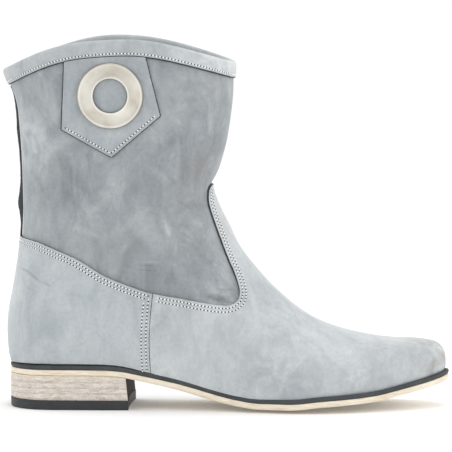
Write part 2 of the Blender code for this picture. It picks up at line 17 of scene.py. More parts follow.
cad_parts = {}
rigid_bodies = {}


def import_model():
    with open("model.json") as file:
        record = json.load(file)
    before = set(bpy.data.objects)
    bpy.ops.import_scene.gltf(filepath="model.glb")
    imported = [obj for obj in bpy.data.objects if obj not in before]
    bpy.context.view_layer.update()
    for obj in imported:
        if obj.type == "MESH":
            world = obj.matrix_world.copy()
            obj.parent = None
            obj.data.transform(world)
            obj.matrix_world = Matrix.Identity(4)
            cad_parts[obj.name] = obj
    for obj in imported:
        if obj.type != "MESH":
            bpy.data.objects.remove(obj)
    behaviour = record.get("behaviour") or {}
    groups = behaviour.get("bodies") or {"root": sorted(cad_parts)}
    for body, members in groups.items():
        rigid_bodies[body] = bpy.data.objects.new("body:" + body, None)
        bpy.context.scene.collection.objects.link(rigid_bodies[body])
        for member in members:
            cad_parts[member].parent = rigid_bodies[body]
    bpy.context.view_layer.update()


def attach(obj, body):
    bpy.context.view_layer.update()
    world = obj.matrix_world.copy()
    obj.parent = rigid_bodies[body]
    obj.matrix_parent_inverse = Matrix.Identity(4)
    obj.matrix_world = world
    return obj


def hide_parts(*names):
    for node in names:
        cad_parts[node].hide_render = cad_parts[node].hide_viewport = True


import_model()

# The sole
SOLE_LENGTH = 0.270
HEEL_LENGTH = 0.0727
BALL_WIDTH = 0.089
HEEL_WIDTH = 0.062
HEEL_HEIGHT = 0.021
TOE_SPRING = 0.0165
EDGE_LIFT = 0.0024
OUTSOLE = 0.0034
MIDSOLE = 0.0028
INSOLE = 0.0020
TOP_PIECE = 0.0058
BREAST_FLARE = 0.0022

# The upper
FEATHER_RATIO = 0.933
BACK_MARGIN = 0.0010
TOE_MARGIN = 0.0035
THROAT_HEIGHT = 0.1373
THROAT_REACH = 0.08625
FRONT_FLARE = 0.0150
COLLAR_FRONT = 0.2112
COLLAR_BACK = 0.2066
COLLAR_RISE = 0.0162
COLLAR_LEAN = 0.0017
COLLAR_DIP = 0.0019
COLLAR_WIDTH = 0.0850
HEEL_BULGE = 0.0021
WALL = 0.0019
OVERLAY = 0.0013
GAP = 0.0003
SEAT_GAP = 0.00045

# The trim
BINDING = 0.0010
BINDING_HEIGHT = 0.0086
BINDING_INSIDE = 0.0070
SEAM_WIDTH = 0.0023
SEAM_HEIGHT = 0.0014
RING_DIAMETER = 0.0400
RING_HOLE = 0.0202
RING_THICK = 0.0014

# along: share of SOLE_LENGTH from the back; heel: share of HEEL_HEIGHT under the outsole;
# toe: share of TOE_SPRING; crown: share of EDGE_LIFT at the side edges
SOLE_LINE = [
    # along, heel,  toe,   crown
    (0.000, 1.000, 0.000, 0.00),
    (0.110, 1.000, 0.000, 0.00),
    (0.215, 0.985, 0.000, 0.10),
    (0.260, 0.930, 0.000, 0.25),
    (0.300, 0.815, 0.000, 0.40),
    (0.340, 0.690, 0.000, 0.60),
    (0.386, 0.548, 0.000, 0.80),
    (0.430, 0.386, 0.000, 0.95),
    (0.477, 0.214, 0.000, 1.00),
    (0.523, 0.080, 0.000, 1.00),
    (0.573, 0.000, 0.000, 1.00),
    (0.640, 0.000, 0.000, 1.00),
    (0.710, 0.000, 0.100, 1.00),
    (0.785, 0.000, 0.200, 0.90),
    (0.845, 0.000, 0.315, 0.75),
    (0.883, 0.000, 0.470, 0.60),
    (0.934, 0.000, 0.700, 0.35),
    (1.000, 0.000, 1.000, 0.00),
]
# heel, ball: shares of half HEEL_WIDTH and half BALL_WIDTH that make the half width;
# middle: share of BALL_WIDTH toward the inner side
PLAN = [
    # along, heel, ball, middle
    (0.00, 0.98, 0.00, 0.000),
    (0.10, 1.00, 0.00, 0.000),
    (0.20, 1.00, 0.00, 0.000),
    (0.30, 0.82, 0.10, -0.005),
    (0.40, 0.62, 0.27, -0.020),
    (0.50, 0.30, 0.55, -0.035),
    (0.60, 0.05, 0.86, -0.030),
    (0.68, 0.00, 1.00, -0.010),
    (0.74, 0.00, 0.99, 0.012),
    (0.80, 0.00, 0.92, 0.035),
    (0.86, 0.00, 0.76, 0.055),
    (0.92, 0.00, 0.65, 0.070),
    (1.00, 0.00, 0.54, 0.085),
]
# The foot, toe to heel. forward: share of the way from the throat to the toe; top_height: share
# of THROAT_HEIGHT; low_along: share of the feather's length; half: share of BALL_WIDTH, or of
# COLLAR_WIDTH toward the heel; reach: from the ridge down to full width, share of THROAT_REACH; rise_in: from the low end up to full width, share of
# HEEL_WIDTH; crown, keel: roundness above and below; ridge: share of BALL_WIDTH inward
FOOT = [
    # forward, top_height, low_along, half, reach, rise_in, crown, keel, ridge
    (1.0000, 0.172, 1.0000, 0.004, 0.020, 0.020, 2.20, 2.0, 0.078),
    (1.0000, 0.212, 0.9936, 0.082, 0.044, 0.034, 2.30, 2.0, 0.078),
    (0.9930, 0.246, 0.9845, 0.126, 0.082, 0.065, 2.30, 2.0, 0.076),
    (0.9700, 0.273, 0.9665, 0.184, 0.129, 0.100, 2.30, 2.0, 0.074),
    (0.9310, 0.2840, 0.9455, 0.246, 0.161, 0.120, 2.30, 2.0, 0.071),
    (0.8527, 0.2940, 0.9058, 0.300, 0.200, 0.145, 2.30, 2.0, 0.066),
    (0.7459, 0.2985, 0.8550, 0.358, 0.236, 0.156, 2.20, 2.0, 0.058),
    (0.5088, 0.3510, 0.7450, 0.466, 0.322, 0.190, 2.00, 2.0, 0.044),
    (0.3067, 0.4915, 0.6390, 0.460, 0.489, 0.290, 1.90, 2.0, 0.034),
    (0.1430, 0.679, 0.5160, 0.417, 0.656, 0.450, 1.85, 2.0, 0.022),
    (0.0835, 0.790, 0.4440, 0.403, 0.680, 0.560, 1.85, 2.0, 0.015),
    (0.0425, 0.880, 0.3555, 0.400, 0.713, 0.690, 1.90, 2.0, 0.009),
    (0.0145, 0.954, 0.2430, 0.408, 0.771, 0.780, 1.95, 2.1, 0.004),
    (0.0062, 0.985, 0.1080, 0.417, 0.840, 0.800, 2.00, 2.2, 0.001),
    (0.0092, 1.000, 0.0284, 0.422, 0.875, 0.800, 2.00, 2.2, 0.000),
    (0.0138, 1.009, 0.0090, 0.423, 0.886, 0.800, 2.00, 2.2, 0.000),
]
# The leg, heel corner to collar. front: share of FRONT_FLARE ahead of THROAT_REACH;
# front_height: share of the way from the throat to the collar; back_height: the same from the
# heel seat; back: share of HEEL_BULGE behind the feather; half: share of COLLAR_WIDTH; round: how far the
# round of the back runs forward, share of HEEL_WIDTH; rise: share of COLLAR_RISE
LEG = [
    # front, front_height, back, back_height, half, reach, round, crown, keel, rise
    (0.30, 0.042, 0.00, 0.000, 0.424, 0.892, 0.45, 2.00, 2.20, 0.00),
    (0.415, 0.107, 0.45, 0.165, 0.425, 0.875, 0.72, 2.00, 2.05, 0.00),
    (0.53, 0.187, -2.65, 0.390, 0.430, 0.806, 0.95, 2.05, 2.00, 0.03),
    (0.785, 0.402, -3.19, 0.646, 0.448, 0.765, 1.02, 2.15, 2.05, 0.18),
    (0.955, 0.700, -1.90, 0.858, 0.476, 0.760, 1.05, 2.25, 2.10, 0.52),
    (0.98, 0.861, -0.05, 0.939, 0.490, 0.777, 1.09, 2.25, 2.10, 0.76),
    (1.00, 1.000, 1.86, 1.000, 0.500, 0.800, 1.12, 2.25, 2.10, 1.00),
]
HEEL_END_RATIO = 0.45
TOE_FROM = 0.86

# Pattern lines in side view. along: share of SOLE_LENGTH; height: share of THROAT_HEIGHT
QUARTER_SEAM = [(0.3295, 0.120), (0.3258, 0.326), (0.3346, 0.5255)]
COUNTER_TOP = [(0.3330, 0.5255), (0.306, 0.540), (0.261, 0.573), (0.216, 0.613), (0.171, 0.668),
               (0.125, 0.7055), (0.077, 0.7395), (0.036, 0.756), (-0.10, 0.803)]
VAMP_TOP = [(0.3346, 0.5255), (0.377, 0.5105), (0.416, 0.497), (0.455, 0.483), (0.488, 0.474),
            (0.508, 0.474), (0.520, 0.4846), (0.5265, 0.4996), (0.5293, 0.5193)]
# Tongue in front view. side: share of BALL_WIDTH; height: share of THROAT_HEIGHT
TONGUE = [(0.345, 0.490), (0.306, 0.538), (0.257, 0.602), (0.231, 0.662), (0.210, 0.732),
          (0.157, 0.883), (0.125, 0.938), (0.090, 0.965), (0.050, 0.982), (0.000, 0.992)]
# Tab in side view. across: share of RING_DIAMETER ahead of the ring; height: share of
# RING_DIAMETER above the ring. The ring's place: shares of SOLE_LENGTH and COLLAR_FRONT
TAB = [(-0.700, 0.66), (-0.752, -0.515), (0.014, -0.930), (0.750, -0.303), (0.536, 0.66)]
RING_AT = (0.2412, 0.9100)


def natural(values):
    """Natural cubic through evenly spaced rows, straight beyond the last one."""
    y = np.array(values, float)
    n = len(y)
    a, b = np.zeros((n, n)), np.zeros(n)
    a[0, 0] = a[-1, -1] = 1
    for i in range(1, n - 1):
        a[i, i - 1:i + 2] = (1, 4, 1)
        b[i] = 6 * (y[i + 1] - 2 * y[i] + y[i - 1])
    m = np.linalg.solve(a, b)

    def at(t):
        if t > n - 1:
            return y[-1] + (t - n + 1) * (y[-1] - y[-2] + m[-2] / 6)
        i = int(min(max(math.floor(t), 0), n - 2))
        f = t - i
        g = 1 - f
        return y[i] * g + y[i + 1] * f + (g ** 3 - g) * m[i] / 6 + (f ** 3 - f) * m[i + 1] / 6
    return at


def steady(xs, ys):
    """Monotone cubic: flats stay flat and no row is overshot."""
    xs, ys = np.array(xs, float), np.array(ys, float)
    step = np.diff(xs)
    slope = np.diff(ys) / step
    tangent = np.zeros(len(xs))
    tangent[0], tangent[-1] = slope[0], slope[-1]
    for i in range(1, len(xs) - 1):
        if slope[i - 1] * slope[i] > 0:
            w1, w2 = 2 * step[i] + step[i - 1], step[i] + 2 * step[i - 1]
            tangent[i] = (w1 + w2) / (w1 / slope[i - 1] + w2 / slope[i])

    def at(x):
        i = int(min(max(np.searchsorted(xs, x) - 1, 0), len(xs) - 2))
        f = min(max((x - xs[i]) / step[i], 0.0), 1.0)
        h00, h10 = 2 * f ** 3 - 3 * f ** 2 + 1, f ** 3 - 2 * f ** 2 + f
        return (h00 * ys[i] + h10 * step[i] * tangent[i] + (1 - h00) * ys[i + 1]
                + (f ** 3 - f ** 2) * step[i] * tangent[i + 1])
    return at


def column(table, i):
    return [row[i] for row in table]


SOLE_BACK = -HEEL_LENGTH / 2
UPPER_BACK = SOLE_BACK + BACK_MARGIN
FEATHER_LENGTH = SOLE_LENGTH - BACK_MARGIN - TOE_MARGIN
LINE = [steady(column(SOLE_LINE, 0), column(SOLE_LINE, i)) for i in (1, 2, 3)]
WIDTHS = [steady(column(PLAN, 0), column(PLAN, i)) for i in (1, 2, 3)]


def plan(share, heel_end=True):
    """Middle and half width of the sole at a share of its length."""
    share = min(max(share, 0.0), 1.0)
    half = WIDTHS[0](share) * HEEL_WIDTH / 2 + WIDTHS[1](share) * BALL_WIDTH / 2
    back = share * SOLE_LENGTH / (HEEL_END_RATIO * HEEL_WIDTH)
    if heel_end and back < 1:
        half *= max(1 - (1 - back) ** 2.2, 0) ** (1 / 2.2)
    if share > TOE_FROM:
        half *= max(1 - ((share - TOE_FROM) / (1 - TOE_FROM)) ** 2.2, 0) ** 0.5
    return WIDTHS[2](share) * BALL_WIDTH, half


def underside(x, y):
    """Height of the outsole's underside."""
    share = min(max((x - SOLE_BACK) / SOLE_LENGTH, 0.0), 1.0)
    middle = WIDTHS[2](share) * BALL_WIDTH
    half = WIDTHS[0](share) * HEEL_WIDTH / 2 + WIDTHS[1](share) * BALL_WIDTH / 2
    side = max(abs(y - middle) / half - 0.35, 0) / 0.65
    return (LINE[0](share) * HEEL_HEIGHT + LINE[1](share) * TOE_SPRING
            + LINE[2](share) * EDGE_LIFT * min(side, 1.1) ** 2)


def seat(x, y):
    """Top of the midsole plus the gap: what the upper and the insole stand on."""
    return underside(x, y) + OUTSOLE + GAP + MIDSOLE + SEAT_GAP


def feather(share):
    """Middle and half width of the upper's lower edge, before the heel's round."""
    middle, half = plan(share, False)
    return middle, half * FEATHER_RATIO


HEEL_ROW = len(FOOT)
LAST_ROW = len(FOOT) + len(LEG) - 1
SEAT_HEIGHT = HEEL_HEIGHT + OUTSOLE + MIDSOLE + GAP + SEAT_GAP

top_x = ([THROAT_REACH + v * (UPPER_BACK + FEATHER_LENGTH - THROAT_REACH) for v in column(FOOT, 0)]
         + [THROAT_REACH + v * FRONT_FLARE for v in column(LEG, 0)])
top_z = ([v * THROAT_HEIGHT for v in column(FOOT, 1)]
         + [THROAT_HEIGHT + v * (COLLAR_FRONT - THROAT_HEIGHT) for v in column(LEG, 1)])
TOP_X, TOP_Z = natural(top_x), natural(top_z)
LOW = steady(range(HEEL_ROW + 1), column(FOOT, 2) + [0.0])
BACK_X = natural([UPPER_BACK - v * HEEL_BULGE for v in column(LEG, 2)])
BACK_Z = natural([SEAT_HEIGHT + v * (COLLAR_BACK - SEAT_HEIGHT) for v in column(LEG, 3)])
HALF = natural([row[3] * (COLLAR_WIDTH + (BALL_WIDTH - COLLAR_WIDTH) * min(row[2] / 0.6, 1.0))
                for row in FOOT] + [v * COLLAR_WIDTH for v in column(LEG, 4)])
REACH = natural([v * THROAT_REACH for v in column(FOOT, 4) + column(LEG, 5)])
RISE_IN = natural([v * HEEL_WIDTH for v in column(FOOT, 5)])
ROUND = natural([v * HEEL_WIDTH for v in column(LEG, 6)])
CROWN = natural(column(FOOT, 6) + column(LEG, 7))
KEEL = natural(column(FOOT, 7) + column(LEG, 8))
RIDGE = natural([v * BALL_WIDTH for v in column(FOOT, 8)] + [0.0] * len(LEG))
RISE = natural([0.0] * len(FOOT) + column(LEG, 9))


leg_rows = np.linspace(0, len(LEG) - 1, 121)
BACK_LINE = np.array([[BACK_Z(r), BACK_X(r)] for r in leg_rows])
HEEL_HALF = feather(0.10)[1]


def smooth(t):
    t = min(max(t, 0.0), 1.0)
    return t * t * (3 - 2 * t)


def section(row, around):
    """Points of the upper's outer face on one section: outer side, ridge, inner side."""
    top = np.array([TOP_X(row), TOP_Z(row)])
    if row < HEEL_ROW:
        share = LOW(row)
        middle, half_low = feather(share)
        x = UPPER_BACK + share * FEATHER_LENGTH
        low = np.array([x, seat(x, middle)])
    else:
        middle = 0.0
        half_low = HEEL_HALF + (HALF(row) - HEEL_HALF) * smooth((row - HEEL_ROW) / 2)
        low = np.array([BACK_X(row - HEEL_ROW), BACK_Z(row - HEEL_ROW)])
    half, length = max(HALF(row), half_low), np.linalg.norm(top - low)
    crown, keel = CROWN(row), KEEL(row)
    h = 0.5 - 0.5 * np.cos(np.linspace(0, math.pi, 601))
    x, z = low[0] + (top[0] - low[0]) * h, low[1] + (top[1] - low[1]) * h
    rise_in = min(RISE_IN(min(row, HEEL_ROW - 1)) / length, 0.6)
    swell = 1 - np.clip(1 - h / rise_in, 0, 1) ** 2
    full = min(max(1 - REACH(row) / length, 0.3), 0.9)
    above = np.clip((h - full) / (1 - full), 0, 1) ** crown
    back = np.clip(1 - (x - np.interp(z, BACK_LINE[:, 0], BACK_LINE[:, 1]))
                   / ROUND(max(row - HEEL_ROW, 0.0)), 0, 1) ** keel
    width = ((half_low + (half - half_low) * swell) * np.clip(1 - above, 0, 1) ** (1 / crown)
             * np.clip(1 - back, 0, 1) ** (1 / keel))
    run = np.concatenate([[0], np.cumsum(np.hypot(np.diff(width), np.diff(h) * length))])
    even = np.interp(np.linspace(0, run[-1], around // 2 + 1), run, h)
    wide = np.interp(even, h, width)
    wide[-1] = 0.0
    centre = middle + (RIDGE(row) - middle) * even
    x = low[0] + (top[0] - low[0]) * even
    rise = COLLAR_RISE * (wide / half) ** 2.4 + COLLAR_LEAN * np.sin(2 * math.pi * even ** 1.4)
    z = low[1] + (top[1] - low[1]) * even + RISE(row) * rise
    dip = COLLAR_DIP * RISE(row) * np.exp(-((even - 0.42) / 0.17) ** 2)
    outer = np.stack([x, centre - wide, z - dip], 1)
    inner = np.stack([x, centre + wide, z], 1)
    return np.concatenate([outer, inner[-2::-1]])


MM = 0.001
AROUND = 160
COLUMNS = range(AROUND + 1)

# The tongue's edge in side view, going on from VAMP_TOP
TONGUE_SIDE = [(0.5289, 0.5375), (0.5275, 0.5532), (0.5192, 0.6022), (0.5122, 0.6338), (0.5057, 0.6621),
               (0.4911, 0.7322), (0.4764, 0.8079), (0.4627, 0.8833), (0.4580, 0.9161), (0.4565, 0.9381),
               (0.4572, 0.9653), (0.4594, 0.9816), (0.4640, 0.994), (0.475, 1.004), (0.50, 1.02),
               (0.55, 1.04)]
# Creases in side view: points (x, z) in mm, width mm, depth mm (+ ridge, - trough), side
CREASES = [
    ([(84, 70.5), (92, 68.5), (99, 68.5), (103, 70.5)], 1.7, -1.5, "outer"),
    ([(86, 74.5), (94, 73.0), (102, 75.0)], 1.8, 0.9, "outer"),
    ([(91, 78.5), (98, 77.0), (103, 78.5)], 1.1, -0.6, "outer"),
    ([(60, 88), (72, 92), (86, 90)], 3.4, 0.5, "outer"),
    ([(64, 84), (76, 85), (88, 83)], 2.6, -0.45, "outer"),
    ([(61, 126), (64.5, 116), (66, 106)], 2.4, 1.0, "outer"),
    ([(66, 128), (69.5, 116), (71, 104)], 2.6, -0.7, "outer"),
    ([(46, 90), (54, 88.5), (64, 90)], 1.2, -0.5, "outer"),
    ([(48, 86.5), (57, 85.5), (63, 86.5)], 1.0, -0.4, "outer"),
    ([(78, 106), (86, 103), (94, 104)], 1.6, -0.5, "outer"),
    ([(-29, 85.5), (-20, 83.5), (-12, 78.5), (-4, 75.0)], 1.5, -0.75, "outer"),
    ([(-27, 82.5), (-17, 79.0), (-10, 75.5)], 2.6, 0.5, "outer"),
    ([(-24, 77), (-20, 71), (-15, 69)], 1.8, -0.4, "outer"),
    ([(84, 128), (74, 122), (64, 121)], 3.5, -0.55, "both"),
    ([(87, 136), (78, 132), (68, 133)], 3.2, 0.45, "both"),
    ([(90, 143), (80, 141), (70, 145)], 3.6, -0.5, "both"),
    ([(86, 118), (78, 110), (70, 107)], 3.2, 0.35, "outer"),
    ([(-27, 120), (-14, 116), (0, 118)], 4.5, -0.45, "both"),
    ([(-28, 132), (-14, 130), (2, 134)], 4.5, 0.35, "both"),
    ([(80, 72), (92, 70), (102, 73)], 2.8, -0.7, "inner"),
    ([(62, 90), (74, 95), (88, 92)], 3.6, 0.5, "inner"),
    ([(134, 62), (138, 50), (136, 38)], 5.0, -0.35, "inner"),
    ([(146, 54), (150, 42), (147, 30)], 5.0, 0.3, "inner"),
    ([(128, 64), (133, 54), (132, 44)], 4.5, -0.25, "outer"),
]


def polyline_distance(a, b, line):
    """Distance of points (a, b) from a polyline, and the share of the way along it."""
    best = np.full(a.shape, 1e9)
    share = np.zeros(a.shape)
    lengths = [math.dist(p, q) for p, q in zip(line, line[1:])]
    total, done = sum(lengths), 0.0
    for (p, q), size in zip(zip(line, line[1:]), lengths):
        dx, dz = q[0] - p[0], q[1] - p[1]
        t = np.clip(((a - p[0]) * dx + (b - p[1]) * dz) / (size * size), 0, 1)
        d = np.hypot(a - p[0] - t * dx, b - p[1] - t * dz)
        near = d < best
        best = np.where(near, d, best)
        share = np.where(near, (done + t * size) / total, share)
        done += size
    return best, share


def curve_through(points, step):
    """A smooth line through points of any dimension, at an even step."""
    points = [np.array(p, float) for p in points]
    fits = [natural([p[k] for p in points]) for k in range(len(points[0]))]
    fine = np.linspace(0, len(points) - 1, 40 * len(points))
    line = np.array([[f(t) for f in fits] for t in fine])
    return even(line, step)


def even(line, step):
    """The same line at an even step."""
    run = np.concatenate([[0], np.cumsum(np.linalg.norm(np.diff(line, axis=0), axis=1))])
    count = max(int(round(run[-1] / step)), 2)
    at = np.linspace(0, run[-1], count + 1)
    return np.stack([np.interp(at, run, line[:, k]) for k in range(line.shape[1])], 1)


def fine_rows(first, last):
    rows = []
    for i in range(LAST_ROW):
        count = 4 if i < 5 else {11: 6, 12: 5, 13: 2, 14: 1, 15: 2, 16: 6}.get(i, 8)
        rows += [i + k / count for k in range(count)]
    rows.append(float(LAST_ROW))
    return [r for r in rows if first - 1e-9 <= r <= last + 1e-9]


def soft_bumps(points, pitch, seed):
    shift = Vector((seed * 7.1, seed * 3.3, seed * 5.7))
    return np.array([noise.noise(Vector(p) / pitch + shift) for p in points])


def relax(values, faces, weight, rounds):
    """Draws every point's value towards the mean of its neighbours'."""
    pairs = np.array([(a, c) for f in faces for a, c in zip(f, f[1:] + f[:1])])
    pairs = np.concatenate([pairs, pairs[:, ::-1]])
    count = np.bincount(pairs[:, 0], minlength=len(values))[:, None]
    for _ in range(rounds):
        mean = np.stack([np.bincount(pairs[:, 0], values[pairs[:, 1], c], len(values))
                         for c in range(3)], 1) / count
        values = values + (mean - values) * weight[:, None]
    return values


def skin(rows, columns=COLUMNS):
    """Points, faces and lower-edge points of the upper's outer face, with its creases."""
    points, faces, grid, edge, level = [], [], [], [], [0.0]
    whole = len(columns) == AROUND + 1
    for row in rows:
        line = section(row, AROUND)
        if row == 0:
            points.append(line[AROUND // 2])
            grid.append([0] * len(columns))
            edge.append(0)
            continue
        index = []
        for j in columns:
            if row >= HEEL_ROW and j == AROUND and whole:
                index.append(index[0])
                continue
            index.append(len(points))
            points.append(line[j])
            level.append(row)
            if row <= HEEL_ROW and j in (0, AROUND):
                edge.append(index[-1])
        grid.append(index)
    for a, b in zip(grid, grid[1:]):
        for j in range(len(columns) - 1):
            face = [a[j], a[j + 1], b[j + 1], b[j]]
            face = [v for i, v in enumerate(face) if v != face[i - 1]]
            if len(face) > 2:
                faces.append(face)
    points, level = np.array(points), np.array(level)
    bend = np.exp(-((level - 15.3) / 1.5) ** 2) * np.clip((points[:, 2] - 0.085) / 0.02, 0, 1)
    points = relax(points, faces, bend * 0.5, 60)
    out = relax(normals(points, faces), faces, np.full(len(points), 0.5), 40)
    out /= np.linalg.norm(out, axis=1)[:, None]
    x, y, z = points[:, 0] / MM, points[:, 1] / MM, points[:, 2] / MM
    move = np.zeros(len(points))
    outer = 1 / (1 + np.exp(np.clip(y / 3.0, -30, 30)))
    for line, width, depth, side in CREASES:
        away, share = polyline_distance(x, z, line)
        fade = np.sin(np.pi * np.clip(share * 0.84 + 0.08, 0, 1))
        mask = outer if side == "outer" else (1 - outer if side == "inner" else 1.0)
        move += depth * np.exp(-(away / width) ** 2) * fade * mask
    move += 0.55 * soft_bumps(points, 0.042, 1) + 0.28 * soft_bumps(points, 0.017, 2)
    above = z - seat_heights(points) / MM
    calm = np.clip(above / 14, 0, 1) * np.clip((213 - z) / 12 + 0.35, 0, 1)
    tuck = -1.0 * np.clip(1 - above / 3.2, 0, 1) ** 2
    return points + out * ((move * calm + tuck) * MM)[:, None], faces, edge


def seat_heights(points):
    """Height of the sole's top under each point, read off a fine line along the middle."""
    along = np.linspace(SOLE_BACK, SOLE_BACK + SOLE_LENGTH, 200)
    tops = [seat(x, plan((x - SOLE_BACK) / SOLE_LENGTH)[0]) for x in along]
    return np.interp(points[:, 0], along, tops)


def normals(points, faces):
    """Outward direction at each point."""
    total = np.zeros_like(points)
    quads = np.array([f if len(f) == 4 else f + [f[-1]] for f in faces])
    a, b, c, d = (points[quads[:, k]] for k in range(4))
    cross = np.cross(c - a, d - b)
    for k in range(4):
        np.add.at(total, quads[:, k], cross)
    size = np.linalg.norm(total, axis=1)
    return total / np.maximum(size, 1e-12)[:, None]


def solid(points, out, faces, edge, low, high):
    """Points and faces of a closed solid between two lifts of a skin."""
    count = len(points)
    shells = [points + out * low, points + out * high]
    for shell in shells:
        for v in edge:
            shell[v][2] = seat(shell[v][0], shell[v][1])
    both = [f[::-1] for f in faces] + [[v + count for v in f] for f in faces]
    sides = {(a, b) for f in faces for a, b in zip(f, f[1:] + f[:1])}
    for a, b in sides:
        if (b, a) not in sides:
            both.append([a, b, b + count, a + count])
    return np.concatenate(shells), both


def make(name, points, faces, *materials, smooth=38, ride=True):
    """A mesh piece that rides on the boot's one body."""
    mesh = bpy.data.meshes.new(name)
    mesh.from_pydata([tuple(float(c) for c in p) for p in points], [], faces)
    bm = bmesh.new()
    bm.from_mesh(mesh)
    bmesh.ops.recalc_face_normals(bm, faces=bm.faces)
    bm.to_mesh(mesh)
    bm.free()
    piece = bpy.data.objects.new(name, mesh)
    bpy.context.scene.collection.objects.link(piece)
    for material in materials:
        mesh.materials.append(material)
    shade(piece, smooth)
    if ride:
        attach(piece, "root")
    return piece


def shade(piece, angle):
    piece.data.polygons.foreach_set("use_smooth", [True] * len(piece.data.polygons))
    piece.data.set_sharp_from_angle(angle=math.radians(angle))


def boolean(piece, cutter, operation):
    """Cuts the piece for good; the cut's walls take the cutter's material."""
    modifier = piece.modifiers.new("cut", "BOOLEAN")
    modifier.operation, modifier.solver, modifier.object = operation, "EXACT", cutter
    modifier.material_mode = "TRANSFER"
    graph = bpy.context.evaluated_depsgraph_get()
    mesh = bpy.data.meshes.new_from_object(piece.evaluated_get(graph))
    piece.modifiers.clear()
    piece.data = mesh


def prism(name, outline, axis, start, end, material):
    count = len(outline)
    points = [(a, d, b) if axis == "Y" else (d, a, b) for d in (start, end) for a, b in outline]
    faces = [list(range(count)), list(range(2 * count - 1, count - 1, -1))]
    faces += [[i, (i + 1) % count, (i + 1) % count + count, i + count] for i in range(count)]
    return make(name, points, faces, material, ride=False)


def side_point(along, height):
    return SOLE_BACK + along * SOLE_LENGTH, height * THROAT_HEIGHT


# Materials

def node(tree, kind, **values):
    n = tree.nodes.new(kind)
    for key, value in values.items():
        if key.startswith("in_"):
            n.inputs[key[3:].replace("_", " ")].default_value = value
        else:
            setattr(n, key, value)
    return n


def principled(name, **sockets):
    material = bpy.data.materials.new(name)
    material.use_nodes = True
    shader = next(n for n in material.node_tree.nodes if n.type == "BSDF_PRINCIPLED")
    for key, value in sockets.items():
        shader.inputs[key].default_value = value
    return material, material.node_tree, shader


def place(tree, scale=(1, 1, 1), turn=(0, 0, 0)):
    coords = node(tree, "ShaderNodeTexCoord")
    mapping = node(tree, "ShaderNodeMapping")
    mapping.inputs["Scale"].default_value = scale
    mapping.inputs["Rotation"].default_value = turn
    tree.links.new(coords.outputs["Object"], mapping.inputs["Vector"])
    return mapping.outputs["Vector"]


def clouds(tree, where, size, detail=4.0, rough=0.55, warp=0.0):
    n = node(tree, "ShaderNodeTexNoise")
    n.inputs["Scale"].default_value = 1 / size
    n.inputs["Detail"].default_value = detail
    n.inputs["Roughness"].default_value = rough
    n.inputs["Distortion"].default_value = warp
    tree.links.new(where, n.inputs["Vector"])
    return n.outputs["Fac"]


def ramp(tree, value, stops):
    n = node(tree, "ShaderNodeValToRGB")
    while len(n.color_ramp.elements) < len(stops):
        n.color_ramp.elements.new(0.5)
    for element, (at, colour) in zip(n.color_ramp.elements, stops):
        element.position, element.color = at, (*colour, 1.0)
    tree.links.new(value, n.inputs["Fac"])
    return n.outputs["Color"]


def spread(tree, value, low, high, to_low=0.0, to_high=1.0):
    n = node(tree, "ShaderNodeMapRange")
    for key, v in (("From Min", low), ("From Max", high), ("To Min", to_low), ("To Max", to_high)):
        n.inputs[key].default_value = v
    tree.links.new(value, n.inputs["Value"])
    return n.outputs["Result"]


def mix(tree, amount, first, second, kind="MIX"):
    n = node(tree, "ShaderNodeMix", data_type="RGBA", blend_type=kind)
    for key, v in (("Factor", amount), ("A", first), ("B", second)):
        socket = next(s for s in n.inputs if s.name == key and s.type == ("VALUE" if key == "Factor" else "RGBA"))
        if isinstance(v, (int, float, tuple)):
            socket.default_value = v
        else:
            tree.links.new(v, socket)
    return next(s for s in n.outputs if s.type == "RGBA")


def times(tree, a, b, kind="MULTIPLY"):
    n = node(tree, "ShaderNodeMath", operation=kind)
    for socket, v in zip(n.inputs, (a, b)):
        if isinstance(v, (int, float)):
            socket.default_value = v
        else:
            tree.links.new(v, socket)
    return n.outputs[0]


def bump(tree, shader, height, strength, distance, under=None):
    n = node(tree, "ShaderNodeBump")
    n.inputs["Strength"].default_value = strength
    n.inputs["Distance"].default_value = distance
    tree.links.new(height, n.inputs["Height"])
    if under is not None:
        tree.links.new(under, n.inputs["Normal"])
    tree.links.new(n.outputs["Normal"], shader.inputs["Normal"])
    return n.outputs["Normal"]


def spot(tree, centre, radius):
    """1 at a point of the boot, falling to 0 at the radius."""
    coords = node(tree, "ShaderNodeTexCoord")
    away = node(tree, "ShaderNodeVectorMath", operation="DISTANCE")
    away.inputs[1].default_value = centre
    tree.links.new(coords.outputs["Object"], away.inputs[0])
    return spread(tree, away.outputs["Value"], radius, 0.0)


def side_place(tree, centre):
    """Place across and up from a point (x, z in mm), in side view."""
    coords = node(tree, "ShaderNodeTexCoord")
    away = node(tree, "ShaderNodeVectorMath", operation="SUBTRACT")
    away.inputs[1].default_value = (centre[0] * MM, 0.0, centre[1] * MM)
    tree.links.new(coords.outputs["Object"], away.inputs[0])
    flat = node(tree, "ShaderNodeVectorMath", operation="MULTIPLY")
    flat.inputs[1].default_value = (1.0, 0.0, 1.0)
    tree.links.new(away.outputs["Vector"], flat.inputs[0])
    return flat.outputs["Vector"]


